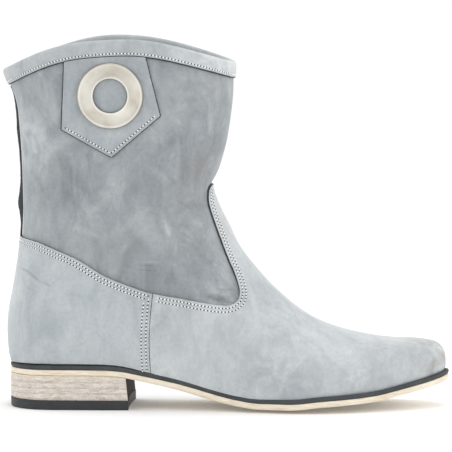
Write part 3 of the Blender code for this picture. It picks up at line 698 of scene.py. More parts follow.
def crease_mask(tree, start, end, width):
    """1 along a line on the outer side (x, z in mm), falling to 0 at the width and at its ends."""
    along = (end[0] - start[0], end[1] - start[1])
    size = along[0] ** 2 + along[1] ** 2
    here = side_place(tree, start)
    dot = node(tree, "ShaderNodeVectorMath", operation="DOT_PRODUCT")
    dot.inputs[1].default_value = (along[0] / size / MM, 0.0, along[1] / size / MM)
    tree.links.new(here, dot.inputs[0])
    share = spread(tree, dot.outputs["Value"], 0.0, 1.0)
    back = node(tree, "ShaderNodeVectorMath", operation="SCALE")
    back.inputs[0].default_value = (along[0] * MM, 0.0, along[1] * MM)
    tree.links.new(share, back.inputs["Scale"])
    off = node(tree, "ShaderNodeVectorMath", operation="DISTANCE")
    tree.links.new(here, off.inputs[0])
    tree.links.new(back.outputs["Vector"], off.inputs[1])
    near = spread(tree, off.outputs["Value"], width * MM, 0.0)
    coords = node(tree, "ShaderNodeTexCoord")
    parts = node(tree, "ShaderNodeSeparateXYZ")
    tree.links.new(coords.outputs["Object"], parts.inputs[0])
    near = times(tree, near, spread(tree, parts.outputs["Y"], 0.004, -0.004))
    ends = times(tree, spread(tree, share, 0.0, 0.3), spread(tree, share, 1.0, 0.7))
    return times(tree, times(tree, near, near), spread(tree, ends, 0.0, 1.0, 0.25, 1.0))


def nubuck(name, dark, mid, light, mottle=1.0, spots=(), crease_shading_and_stain=()):
    """Brushed leather: clouds, faint streaks and a fine nap that catches the light. Spots add stains and painted light
    and shade; crease lines add painted shade, painted highlights and one stain.
    """
    material, tree, shader = principled(name, **{"Roughness": 0.88, "Specular IOR Level": 0.25,
                                                 "Sheen Weight": 0.35, "Sheen Roughness": 0.45})
    flat = place(tree)
    tall = place(tree, (1.0, 1.0, 0.45), (0.0, 0.35, 0.0))
    big = clouds(tree, flat, 0.050, 5.0, 0.60, 0.6)
    streak = clouds(tree, tall, 0.016, 6.0, 0.62, 1.4)
    nap = clouds(tree, flat, 0.0022, 3.0, 0.7)
    fine = clouds(tree, flat, 0.0005, 2.0, 0.6)
    both = times(tree, times(tree, big, 0.55), times(tree, streak, 0.45), "ADD")
    colour = ramp(tree, both, ((0.5 - 0.16 * mottle, dark), (0.5, mid), (0.5 + 0.17 * mottle, light)))
    grain = ramp(tree, nap, ((0.30, (0.90, 0.90, 0.90)), (0.50, (1.0, 1.0, 1.0)), (0.72, (1.07, 1.07, 1.07))))
    colour = mix(tree, 0.85, colour, grain, "MULTIPLY")
    # spots: stains, painted highlights and painted shade
    for centre, radius, tint, amount in spots:
        near = spot(tree, centre, radius)
        patchy = times(tree, near, spread(tree, clouds(tree, flat, radius * 0.35, 4.0, 0.6, 0.8), 0.35, 0.65))
        colour = mix(tree, times(tree, patchy, amount), colour, (*tint, 1.0))
    # crease lines: painted shade in the creases, painted highlights on their ridges, and one stain
    for start, end, width, tint, amount in crease_shading_and_stain:
        broken = spread(tree, clouds(tree, flat, 0.004, 4.0, 0.7, 0.5), 0.30, 0.62, 0.15, 1.0)
        line = times(tree, crease_mask(tree, start, end, width), broken)
        colour = mix(tree, times(tree, line, amount), colour, (*tint, 1.0))
    tree.links.new(colour, shader.inputs["Base Color"])
    tree.links.new(spread(tree, streak, 0.3, 0.7, 0.80, 0.95), shader.inputs["Roughness"])
    soft = bump(tree, shader, nap, 0.30, 0.0004)
    bump(tree, shader, fine, 0.35, 0.00015, soft)
    return material


# SHADE is painted shade for creases; GLINT is a painted highlight for crease ridges and lit folds
SHADE, GLINT = (0.125, 0.135, 0.140), (0.60, 0.63, 0.64)
SHAFT = nubuck("nubuck_shaft", (0.222, 0.244, 0.256), (0.302, 0.329, 0.344), (0.418, 0.448, 0.460), 0.80,
               # brown stains near the throat and the front
               (((0.086, -0.02, 0.146), 0.026, (0.27, 0.245, 0.215), 0.55),
                ((0.078, -0.03, 0.118), 0.030, (0.29, 0.28, 0.26), 0.40),
                ((0.096, -0.02, 0.196), 0.022, (0.36, 0.345, 0.32), 0.45),
                # the next four spots: painted highlights, lighter towards the back and front edges
                ((-0.030, -0.03, 0.165), 0.036, (0.60, 0.625, 0.635), 0.90),
                ((0.075, -0.045, 0.190), 0.030, (0.48, 0.51, 0.52), 0.60),
                ((-0.022, -0.03, 0.130), 0.024, (0.42, 0.445, 0.455), 0.45),
                ((0.070, -0.04, 0.180), 0.016, (0.42, 0.45, 0.46), 0.45),
                # painted shade: darker in the middle of the side
                ((0.050, -0.04, 0.138), 0.020, (0.24, 0.265, 0.275), 0.45),
                # painted highlight on a crease ridge
                ((0.066, -0.04, 0.118), 0.008, (0.50, 0.53, 0.54), 0.55),
                # two small dark stains by the collar
                ((0.0252, -0.045, 0.2143), 0.0016, (0.10, 0.10, 0.10), 0.9),
                ((0.064, -0.045, 0.2045), 0.0022, (0.14, 0.14, 0.14), 0.8),
                # painted shade along the counter's top edge
                ((0.030, -0.04, 0.096), 0.030, (0.265, 0.285, 0.29), 0.40)),
               # crease lines: SHADE is painted shade in the creases, GLINT painted highlights on their ridges
               (((86.5, 70.6), (98.5, 67.6), 3.4, SHADE, 0.85), ((93.5, 74.6), (103.5, 73.7), 1.3, SHADE, 0.55),
                ((92.5, 67.6), (105.0, 66.2), 1.4, SHADE, 0.60), ((88.0, 73.5), (99.0, 71.2), 2.2, GLINT, 0.40),
                ((43.0, 89.3), (58.0, 89.0), 1.1, SHADE, 0.50), ((42.0, 87.0), (56.5, 85.9), 1.0, SHADE, 0.42),
                ((47.0, 91.5), (60.0, 91.0), 1.6, GLINT, 0.30),
                ((59.5, 121.0), (65.0, 103.5), 4.6, GLINT, 0.62), ((56.5, 117.0), (61.5, 104.0), 3.0, SHADE, 0.30),
                ((69.0, 109.2), (77.0, 104.8), 1.5, SHADE, 0.45), ((70.0, 105.0), (81.5, 98.5), 2.6, SHADE, 0.35),
                # a brown stain along a crease near the throat
                ((74.5, 126.2), (85.0, 124.0), 4.0, (0.19, 0.165, 0.14), 0.55),
                ((68.5, 128.2), (78.0, 121.7), 2.2, SHADE, 0.40), ((61.5, 144.6), (69.5, 136.2), 3.0, SHADE, 0.35),
                ((78.0, 116.5), (84.0, 111.5), 4.6, GLINT, 0.30), ((50.0, 150.0), (66.0, 139.0), 5.0, GLINT, 0.30),
                # broad painted shade and a broad painted highlight over the side
                ((30.0, 120.0), (52.0, 96.0), 6.0, SHADE, 0.22), ((-22.0, 150.0), (-8.0, 128.0), 6.0, SHADE, 0.22),
                ((62.0, 96.5), (80.0, 84.0), 4.0, SHADE, 0.22), ((5.0, 112.0), (24.0, 106.0), 4.0, GLINT, 0.25)))
VAMP = nubuck("nubuck_vamp", (0.400, 0.430, 0.445), (0.490, 0.520, 0.534), (0.580, 0.607, 0.617), 0.80,
              # a brown stain at the toe tip
              (((0.224, 0.000, 0.030), 0.027, (0.28, 0.245, 0.205), 0.90),
               # a lighter, warmer patch on the toe top
               ((0.200, 0.000, 0.046), 0.026, (0.66, 0.64, 0.62), 0.50),
               # the next three spots: painted shade, darker low on the outer side towards the sole
               ((0.130, -0.045, 0.014), 0.042, (0.30, 0.330, 0.350), 0.95),
               ((0.180, -0.040, 0.012), 0.034, (0.33, 0.355, 0.365), 0.75),
               ((0.080, -0.040, 0.040), 0.030, (0.41, 0.443, 0.460), 0.45),
               # a brown stain near the throat
               ((0.094, -0.010, 0.112), 0.024, (0.42, 0.395, 0.365), 0.50)))
COUNTER = nubuck("nubuck_counter", (0.375, 0.408, 0.430), (0.455, 0.488, 0.508), (0.530, 0.560, 0.576), 0.9,
                 # painted highlight: the back of the heel lighter
                 (((-0.036, -0.01, 0.070), 0.024, (0.60, 0.62, 0.62), 0.60),),
                 # crease lines: SHADE is painted shade in the creases, GLINT a painted highlight on a ridge
                 (((-30.5, 86.0), (-22.5, 83.8), 1.3, SHADE, 0.45), ((-24.5, 85.0), (-15.8, 78.6), 1.3, SHADE, 0.50),
                  ((-17.5, 79.8), (-7.5, 76.0), 1.3, SHADE, 0.45), ((-9.5, 76.0), (-0.5, 83.0), 1.1, SHADE, 0.22),
                  ((-28.2, 80.6), (-23.0, 73.6), 1.6, SHADE, 0.28), ((-24.0, 74.2), (-19.0, 73.2), 1.6, SHADE, 0.28),
                  ((-26.0, 82.4), (-16.5, 76.4), 2.6, GLINT, 0.30)))
TAB_SKIN = nubuck("nubuck_tab", (0.285, 0.313, 0.329), (0.360, 0.390, 0.407), (0.440, 0.470, 0.486), 0.9)
BAND = nubuck("nubuck_band", (0.330, 0.358, 0.372), (0.420, 0.450, 0.464), (0.520, 0.550, 0.562), 0.9,
              # painted highlights: the near rim's fold and the back of the band lighter
              (((0.092, -0.03, 0.212), 0.046, (0.74, 0.765, 0.77), 0.95),
               ((-0.034, -0.01, 0.205), 0.018, (0.56, 0.59, 0.60), 0.50)))


def plain(name, colour, roughness, size, depth, variety=0.25, **sockets):
    """A material with fine grain and a little unevenness of colour."""
    material, tree, shader = principled(name, Roughness=roughness, **sockets)
    flat = place(tree)
    grain = clouds(tree, flat, size, 5.0, 0.6)
    wide = clouds(tree, flat, size * 14, 3.0, 0.5)
    low = tuple(c * (1 - variety) for c in colour)
    high = tuple(min(c * (1 + variety), 1.0) for c in colour)
    colour = ramp(tree, times(tree, times(tree, grain, 0.5), times(tree, wide, 0.5), "ADD"),
                  ((0.36, low), (0.64, high)))
    tree.links.new(colour, shader.inputs["Base Color"])
    tree.links.new(spread(tree, wide, 0.3, 0.7, roughness * 0.9, min(roughness * 1.1, 1.0)),
                   shader.inputs["Roughness"])
    bump(tree, shader, grain, 0.5, depth)
    return material


RAW_EDGE = plain("raw_edge", (0.045, 0.052, 0.060), 0.85, 0.0006, 0.0002, 0.5)
CHARCOAL = plain("charcoal_midsole", (0.046, 0.053, 0.056), 0.72, 0.0008, 0.00015, 0.4)
BREAST = plain("breast_covering", (0.040, 0.032, 0.024), 0.85, 0.0007, 0.0006, 0.8)
RUBBER = plain("black_rubber", (0.025, 0.029, 0.031), 0.60, 0.0007, 0.0002, 0.4)
THREAD = plain("thread", (0.88, 0.89, 0.88), 0.75, 0.0004, 0.0001, 0.10)
# needle holes: near-black discs of painted shade
HOLE_SHADE = plain("needle_hole_shade", (0.035, 0.038, 0.042), 0.95, 0.0005, 0.0001, 0.2)
LINING = plain("lining", (0.50, 0.46, 0.40), 0.70, 0.0012, 0.0001, 0.12)


def sole_leather():
    material, tree, shader = principled("sole_leather", Roughness=0.62)
    flat = place(tree)
    layers = place(tree, (0.25, 0.25, 3.0))
    grain = clouds(tree, layers, 0.0025, 5.0, 0.65, 0.4)
    wide = clouds(tree, flat, 0.018, 4.0, 0.6)
    colour = ramp(tree, grain, ((0.30, (0.60, 0.50, 0.38)), (0.50, (0.80, 0.70, 0.55)),
                                (0.72, (0.90, 0.82, 0.68))))
    colour = mix(tree, spread(tree, wide, 0.4, 0.75, 0.0, 0.45), colour, (0.92, 0.86, 0.74, 1.0))
    tree.links.new(colour, shader.inputs["Base Color"])
    bump(tree, shader, grain, 0.45, 0.0003)
    return material


def heel_layers():
    """Stacked leather: thin lifts with greyed, wood-like grain."""
    material, tree, shader = principled("heel_layers", Roughness=0.66)
    flat = place(tree)
    lying = place(tree, (0.12, 0.12, 1.0), (0.0, 0.012, 0.0))
    band = node(tree, "ShaderNodeTexWave", wave_type="BANDS", bands_direction="Z", wave_profile="SIN")
    band.inputs["Scale"].default_value = 95.0
    band.inputs["Distortion"].default_value = 2.0
    band.inputs["Detail"].default_value = 4.0
    band.inputs["Detail Scale"].default_value = 0.8
    tree.links.new(lying, band.inputs["Vector"])
    grain = clouds(tree, place(tree, (0.22, 0.22, 1.0), (0.0, 0.012, 0.0)), 0.0009, 6.0, 0.75, 0.3)
    wide = clouds(tree, flat, 0.014, 4.0, 0.6, 0.5)
    colour = ramp(tree, grain, ((0.30, (0.33, 0.285, 0.245)), (0.44, (0.60, 0.54, 0.475)),
                                (0.58, (0.77, 0.71, 0.645)), (0.74, (0.90, 0.85, 0.79))))
    dark = ramp(tree, band.outputs["Fac"], ((0.05, (0.74, 0.70, 0.67)), (0.30, (1.0, 1.0, 1.0))))
    colour = mix(tree, 0.60, colour, dark, "MULTIPLY")
    colour = mix(tree, spread(tree, wide, 0.42, 0.7, 0.0, 0.45), colour, (0.56, 0.52, 0.48, 1.0))
    coords = node(tree, "ShaderNodeTexCoord")
    parts = node(tree, "ShaderNodeSeparateXYZ")
    tree.links.new(coords.outputs["Object"], parts.inputs[0])
    dots = clouds(tree, flat, 0.0008, 2.0, 0.5)
    strip = times(tree, spread(tree, parts.outputs["Z"], HEEL_HEIGHT - 0.0026, HEEL_HEIGHT - 0.0004),
                  spread(tree, dots, 0.40, 0.56, 0.15, 1.0))
    colour = mix(tree, times(tree, strip, 0.85), colour, (0.86, 0.72, 0.51, 1.0))
    flecks = times(tree, spread(tree, dots, 0.67, 0.72), spread(tree, wide, 0.40, 0.55))
    colour = mix(tree, flecks, colour, (0.06, 0.05, 0.04, 1.0))
    tree.links.new(colour, shader.inputs["Base Color"])
    soft = bump(tree, shader, grain, 0.5, 0.0003)
    bump(tree, shader, band.outputs["Fac"], 0.25, 0.0003, soft)
    return material


def metal():
    material, tree, shader = principled("warm_steel", Metallic=1.0, Roughness=0.30)
    flat = place(tree)
    fine = clouds(tree, flat, 0.0009, 4.0, 0.6)
    wide = clouds(tree, flat, 0.012, 3.0, 0.5)
    colour = ramp(tree, wide, ((0.35, (0.55, 0.515, 0.44)), (0.65, (0.72, 0.69, 0.62))))
    away = node(tree, "ShaderNodeVectorMath", operation="LENGTH")
    centre = ((SOLE_BACK + RING_AT[0] * SOLE_LENGTH) / MM, RING_AT[1] * COLLAR_FRONT / MM)
    here = side_place(tree, centre)
    tree.links.new(here, away.inputs[0])
    radius = away.outputs["Value"]
    # painted highlights on the rolled rims by the hole and the outer edge; painted shadow lines along the hole's edge
    # and the outer edge
    for middle, width, tint, amount in ((RING_HOLE / 2 + 0.0009, 0.0007, (0.92, 0.90, 0.86), 0.75),
                                        (RING_DIAMETER / 2 - 0.0013, 0.0006, (0.92, 0.90, 0.86), 0.65),
                                        (RING_HOLE / 2, 0.0006, (0.10, 0.09, 0.08), 0.85),
                                        (RING_DIAMETER / 2, 0.0007, (0.10, 0.09, 0.08), 0.85)):
        band = times(tree, spread(tree, radius, middle - width, middle),
                     spread(tree, radius, middle + width, middle))
        colour = mix(tree, times(tree, band, amount), colour, (*tint, 1.0))
    # painted shade: the upper part of the ring darker
    upper_part = node(tree, "ShaderNodeSeparateXYZ")
    tree.links.new(here, upper_part.inputs[0])
    colour = mix(tree, spread(tree, upper_part.outputs["Z"], 0.004, 0.015, 0.0, 0.38), colour, (0.42, 0.39, 0.34, 1.0))
    tree.links.new(colour, shader.inputs["Base Color"])
    tree.links.new(spread(tree, fine, 0.3, 0.7, 0.26, 0.38), shader.inputs["Roughness"])
    bump(tree, shader, fine, 0.12, 0.0001)
    return material


SOLE_LEATHER, HEEL_LAYERS, STEEL = sole_leather(), heel_layers(), metal()


# The upper and what lies on it

ROWS = fine_rows(0, LAST_ROW)
POINTS, FACES, EDGE = skin(ROWS)
OUT = normals(POINTS, FACES)
OUTER_LIFT = 1.4 * GAP + OVERLAY


def surface(lift):
    return BVHTree.FromPolygons([tuple(p) for p in POINTS + OUT * lift], FACES)


BARE, COVERED = surface(0.0), surface(OUTER_LIFT)


def build_upper():
    points, faces = solid(POINTS, OUT, FACES, EDGE, -WALL, 0.0)
    piece = make("upper_leather", points, faces, SHAFT, LINING)
    inner = len(FACES)
    piece.data.polygons.foreach_set("material_index", [1] * inner + [0] * (len(faces) - inner))
    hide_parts("upper")


leg_start = ROWS.index(float(HEEL_ROW))
LEG_GRID = np.arange(len(ROWS) - leg_start)[:, None] * AROUND + np.arange(AROUND)[None, :]
LEG_GRID += len(POINTS) - LEG_GRID.size


def clip(points, out, faces, edge, value):
    """The part of a skin on which a value at its points is above zero."""
    place_of, moved, normal, kept, low_edge = {}, [], [], [], []

    def vertex(key, p, n, on_edge):
        if key not in place_of:
            place_of[key] = len(moved)
            moved.append(p)
            normal.append(n / np.linalg.norm(n))
            if on_edge:
                low_edge.append(place_of[key])
        return place_of[key]

    for f in faces:
        if not any(value[v] > 0 for v in f):
            continue
        face = []
        for a, b in zip(f, f[1:] + f[:1]):
            if value[a] > 0:
                face.append(vertex(a, points[a], out[a], a in edge))
            if (value[a] > 0) != (value[b] > 0):
                c, d = min(a, b), max(a, b)
                t = min(max(value[c] / (value[c] - value[d]), 0.06), 0.94)
                face.append(vertex((c, d), points[c] * (1 - t) + points[d] * t,
                                   out[c] * (1 - t) + out[d] * t, c in edge and d in edge))
        if len(face) > 2:
            kept.append(face)
    return np.array(moved), np.array(normal), kept, set(low_edge)


def rims(faces, edge):
    """Chains of points along the cut borders of a skin."""
    sides = {(a, b) for f in faces for a, b in zip(f, f[1:] + f[:1])}
    after = {a: b for a, b in sides if (b, a) not in sides and not (a in edge and b in edge)}
    later = set(after.values())
    lines = []
    for start in sorted(a for a in after if a not in later):
        line = [start]
        while line[-1] in after and len(line) < 5000:
            line.append(after[line[-1]])
        lines.append(line)
    return lines


def side_of(points, line):
    """Distance from a line in side view, above zero on its right-hand side."""
    x, z = points[:, 0], points[:, 2]
    best, value = np.full(len(points), 1e9), np.zeros(len(points))
    for (px, pz), (qx, qz) in zip(line, line[1:]):
        dx, dz = qx - px, qz - pz
        t = np.clip(((x - px) * dx + (z - pz) * dz) / (dx * dx + dz * dz), 0, 1)
        d = np.hypot(x - px - t * dx, z - pz - t * dz)
        near = d < best
        best = np.where(near, d, best)
        value = np.where(near, d * np.sign(dz * (x - px) - dx * (z - pz)), value)
    return value


def seam_x(z):
    line = curve_through([side_point(*p) for p in QUARTER_SEAM], 0.001)
    return np.interp(z, line[:, 1], line[:, 0])


def cut_layer(name, material, node_name, *sides):
    """A layer of leather over the foot, cut to its pattern; also gives the lines of its edges."""
    last = LEG_GRID[ROWS.index(HEEL_ROW + 3.0) - leg_start].max()
    points, out, edge = POINTS, OUT, set(EDGE)
    faces = [f for f in FACES if max(f) <= last]
    for side in sides:
        ragged = 0.10 * MM * soft_bumps(points, 0.0016, 9)
        value = side(points + out * OUTER_LIFT) + ragged
        points, out, faces, edge = clip(points, out, faces, edge, value)
    lines = rims(faces, edge)
    rim = sorted({v for line in lines for v in line})
    low, high = np.full((len(points), 1), 0.3 * GAP), np.full((len(points), 1), OUTER_LIFT)
    high[rim] -= 0.00022
    solid_points, both = solid(points, out, faces, edge, low, high)
    piece = make(name, solid_points, both, material, RAW_EDGE)
    rim = set(rim)
    wall = [i >= 2 * len(faces) and f[0] in rim and f[1] in rim for i, f in enumerate(both)]
    piece.data.polygons.foreach_set("material_index", [int(w) for w in wall])
    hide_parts(node_name)
    return [(points + out * OUTER_LIFT)[line] for line in lines]


def build_vamp():
    line = [side_point(0.20, 0.59)] + [side_point(*p) for p in VAMP_TOP + TONGUE_SIDE]
    line = curve_through(line, 0.0012)
    return cut_layer("vamp_leather", VAMP, "vamp",
                     lambda p: p[:, 0] - seam_x(p[:, 2]) - GAP * 0.6, lambda p: side_of(p, line))


def build_counter():
    line = [side_point(*p) for p in COUNTER_TOP[::-1]] + [side_point(0.40, 0.50)]
    line = curve_through(line, 0.0012)
    return cut_layer("counter_leather", COUNTER, "counter",
                     lambda p: seam_x(p[:, 2]) - GAP * 0.6 - p[:, 0], lambda p: side_of(p, line))


def trim(piece, cutters, name):
    for cutter in cutters:
        bpy.data.objects.remove(cutter)
    shade(piece, 38)
    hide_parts(name)
    return piece


def smooth_line(line, times_over=6):
    line = line.copy()
    for _ in range(times_over):
        line[1:-1] = line[1:-1] * 0.5 + (line[:-2] + line[2:]) * 0.25
    return line


def beside(line, tree, distance, toward):
    """The line moved sideways over the leather, on the side that a point lies on."""
    line = smooth_line(even(line, 0.0008))
    tangent = np.gradient(line, axis=0)
    tangent /= np.linalg.norm(tangent, axis=1)[:, None]
    moved = []
    for p, t in zip(line, tangent):
        _, normal, _, _ = tree.find_nearest(Vector(p))
        side = np.cross(np.array(normal[:]), t)
        side /= max(np.linalg.norm(side), 1e-9)
        if np.dot(side, np.array(toward(p)) - p) < 0:
            side = -side
        hit, _, _, _ = tree.find_nearest(Vector(p + side * distance))
        moved.append(hit[:])
    return smooth_line(even(np.array(moved), 0.0006), 4)


def stitch_row(store, line, tree, pitch=0.00215, length=0.00142, radius=0.00036, seed=1):
    """Adds one row of thread, with dark discs of painted shade at the needle holes, to the store of points and faces.
    """
    rng = random.Random(seed)
    run = np.concatenate([[0], np.cumsum(np.linalg.norm(np.diff(line, axis=0), axis=1))])
    count = int(run[-1] / pitch)
    if count < 2:
        return
    step = run[-1] / count
    for k in range(count):
        middle = (k + 0.5) * step
        ends = []
        for s in (middle - length / 2, middle + length / 2):
            p = np.array([np.interp(s, run, line[:, c]) for c in range(3)])
            hit, normal, _, _ = tree.find_nearest(Vector(p))
            ends.append((hit, normal))
        (a, na), (b, nb) = ends
        up = (na + nb).normalized()
        along = (b - a).normalized()
        across = along.cross(up).normalized()
        skew = across * rng.uniform(-0.00008, 0.00008)
        thick = radius * rng.uniform(0.88, 1.10)
        base = len(store["thread_points"])
        rings = ((0.0, 0.45, -0.5), (0.12, 0.85, 0.25), (0.35, 1.0, 0.62), (0.65, 1.0, 0.62),
                 (0.88, 0.85, 0.25), (1.0, 0.45, -0.5))
        for share, wide, lift in rings:
            centre = a.lerp(b, share) + skew * (share - 0.5) * 2 + up * (lift * thick)
            for i in range(6):
                angle = math.pi * 2 * i / 6
                store["thread_points"].append(centre + across * (math.cos(angle) * thick * wide)
                                              + up * (math.sin(angle) * thick * wide * 0.85))
        for r in range(len(rings) - 1):
            for i in range(6):
                j = (i + 1) % 6
                store["thread_faces"].append([base + r * 6 + i, base + r * 6 + j,
                                              base + r * 6 + 6 + j, base + r * 6 + 6 + i])
        store["thread_faces"].append([base + i for i in range(5, -1, -1)])
        store["thread_faces"].append([base + (len(rings) - 1) * 6 + i for i in range(6)])
        # the needle hole: a dark disc of painted shade on the leather
        hole = a - along * ((step - length) / 2)
        base = len(store["hole_shade_points"])
        for depth, wide in ((-0.0002, 0.00038), (0.00008, 0.00047)):
            for i in range(8):
                angle = math.pi * 2 * i / 8
                store["hole_shade_points"].append(hole + along * (math.cos(angle) * wide * 1.1)
                                            + across * (math.sin(angle) * wide) + up * depth)
        store["hole_shade_faces"].append([base + i for i in range(7, -1, -1)])
        store["hole_shade_faces"].append([base + 8 + i for i in range(8)])
        for i in range(8):
            j = (i + 1) % 8
            store["hole_shade_faces"].append([base + i, base + j, base + 8 + j, base + 8 + i])


def stitch_store():
    return {"thread_points": [], "thread_faces": [], "hole_shade_points": [], "hole_shade_faces": []}


def finish_stitches(name, store):
    if store["thread_points"]:
        thread = make(name, store["thread_points"], store["thread_faces"], THREAD, smooth=80)
        hole_shades = make(name + "_holes", store["hole_shade_points"], store["hole_shade_faces"], HOLE_SHADE)


def rope(points, out, radius, name, material, sides=8, flat=1.0, seed=3, uneven=0.0, closed=False):
    """A bead along a line: radius across, flat times that above the leather."""
    rng = random.Random(seed)
    count = len(points)
    tangent = np.gradient(points, axis=0) if not closed else np.roll(points, -1, 0) - np.roll(points, 1, 0)
    verts, faces = [], []
    for p, t, n in zip(points, tangent, out):
        t = t / max(np.linalg.norm(t), 1e-12)
        side = np.cross(n, t)
        side /= max(np.linalg.norm(side), 1e-12)
        r = radius * (1 + uneven * rng.uniform(-1, 1))
        for i in range(sides):
            angle = math.pi * 2 * i / sides
            verts.append(p + side * (math.cos(angle) * r) + n * (math.sin(angle) * r * flat))
    for k in range(count if closed else count - 1):
        m = (k + 1) % count
        for i in range(sides):
            j = (i + 1) % sides
            faces.append([k * sides + i, k * sides + j, m * sides + j, m * sides + i])
    if not closed:
        faces.append([i for i in range(sides - 1, -1, -1)])
        faces.append([(count - 1) * sides + i for i in range(sides)])
    return make(name, verts, faces, material, smooth=60)


build_upper()
VAMP_EDGES, COUNTER_EDGES = build_vamp(), build_counter()

# The collar, counted down from the rim

COLUMN_POINTS, COLUMN_OUT = POINTS[LEG_GRID][::-1], OUT[LEG_GRID][::-1]
COLUMN_RUN = np.concatenate([np.zeros((1, AROUND)),
                             np.cumsum(np.linalg.norm(np.diff(COLUMN_POINTS, axis=0), axis=2), axis=0)])


def collar(j, distance, lift):
    """A point that far down a column of the collar, lifted off the leather."""
    j = j % AROUND
    run = COLUMN_RUN[:, j]
    p = np.array([np.interp(distance, run, COLUMN_POINTS[:, j, c]) for c in range(3)])
    if distance < 0:
        up = COLUMN_POINTS[0, j] - COLUMN_POINTS[2, j]
        p = COLUMN_POINTS[0, j] - up / np.linalg.norm(up) * distance
    n = np.array([np.interp(distance, run, COLUMN_OUT[:, j, c]) for c in range(3)])
    return p + n / np.linalg.norm(n) * lift


def tree_of(piece):
    mesh = piece.data
    return BVHTree.FromPolygons([v.co[:] for v in mesh.vertices], [tuple(f.vertices) for f in mesh.polygons])


def build_binding():
    inside = -WALL - GAP
    profile = [
        (8.60, 0.30), (8.66, 0.70), (8.45, 1.15), (7.90, 1.36), (7.25, 1.36), (6.40, 1.50),
        (4.80, 1.62), (3.00, 1.60), (1.40, 1.52), (0.30, 1.30), (-0.55, 0.80), (-1.05, 0.10),
        (-1.22, -0.90), (-1.05, -1.90), (-0.50, -2.60), (0.40, -3.05), (2.00, -3.20), (6.90, -3.20),
        (7.00, -2.70), (6.95, -2.22), (3.00, -2.22), (-0.30, -2.22), (-0.30, 0.30), (4.00, 0.30),
    ]
    count = len(profile)
    points, faces = [], []
    for j in range(AROUND):
        wave = noise.noise(Vector((math.cos(j * 2 * math.pi / AROUND) * 2.2,
                                   math.sin(j * 2 * math.pi / AROUND) * 2.2, 0.3))) * 0.35
        for d, lift in profile:
            points.append(collar(j, (d + wave * (d > 5 and lift > 0)) * MM, lift * MM))
    for j in range(AROUND):
        k = (j + 1) % AROUND
        for i in range(count):
            n = (i + 1) % count
            faces.append([j * count + i, j * count + n, k * count + n, k * count + i])
    band = make("collar_band", points, faces, BAND, smooth=70)
    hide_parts("collar_binding")
    tree = tree_of(band)
    store = stitch_store()
    line = np.array([collar(j, 7.1 * MM, 1.4 * MM) for j in range(AROUND + 1)])
    stitch_row(store, even(line, 0.0006), tree, pitch=0.0021, radius=0.00036, seed=11)
    finish_stitches("band_stitches", store)
    line = np.array([collar(j, 8.85 * MM, 0.55 * MM) for j in range(AROUND)])
    out = COLUMN_OUT[6]
    edge = rope(line, out, 0.00050, "band_raw_edge", RAW_EDGE, flat=1.1, uneven=0.12, closed=True)
    return band


def build_back_seam():
    line, out = COLUMN_POINTS[:, 0][::-1], COLUMN_OUT[:, 0][::-1]
    keep = (line[:, 2] > 0.1025) & (line[:, 2] < COLUMN_POINTS[0, 0, 2] - 0.0088)
    line, out = line[keep], out[keep]
    fine = even(np.concatenate([line, out], 1), 0.0009)
    line, out = fine[:, :3], fine[:, 3:]
    points, faces = [], []
    for k, (p, n) in enumerate(zip(line, out)):
        n = n / np.linalg.norm(n)
        z = p[2] / MM
        thick = 1.0 + 1.25 * math.exp(-((z - 125) / 8) ** 2) + 0.35 * math.exp(-((z - 168) / 9) ** 2)
        wob = noise.noise(Vector((0, 0, z / 6.0))) * 0.45 + noise.noise(Vector((3, 0, z / 1.7))) * 0.25
        high = (1.55 * thick + 0.45 * wob) * (0.25 + 0.75 * min(max((196 - z) / 12, 0), 1)) * MM
        half = (1.05 + 0.25 * noise.noise(Vector((7, 1, z / 4.0)))) * MM
        drift = 0.25 * noise.noise(Vector((1, 5, z / 9.0))) * MM
        for side, lift in ((-1, 0.0004), (-0.96, high * 0.62), (-0.62, high * 0.95), (-0.10, high),
                           (0.10, high * 0.86), (0.62, high * 1.02), (0.96, high * 0.6), (1, 0.0004)):
            points.append(p + n * lift + np.array((0, side * half + drift, 0)))
    count = 8
    for k in range(len(line) - 1):
        for i in range(count):
            j = (i + 1) % count
            faces.append([k * count + i, k * count + j, (k + 1) * count + j, (k + 1) * count + i])
    faces += [list(range(count)), [(len(line) - 1) * count + i for i in range(count)][::-1]]
    piece = make("back_seam_fin", points, faces, RAW_EDGE, smooth=30)
    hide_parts("back_seam")


def near_line(line, corners, limit):
    """The part of a line within a distance of a polyline, in side view."""
    away, _ = polyline_distance(line[:, 0], line[:, 2], corners)
    return away < limit


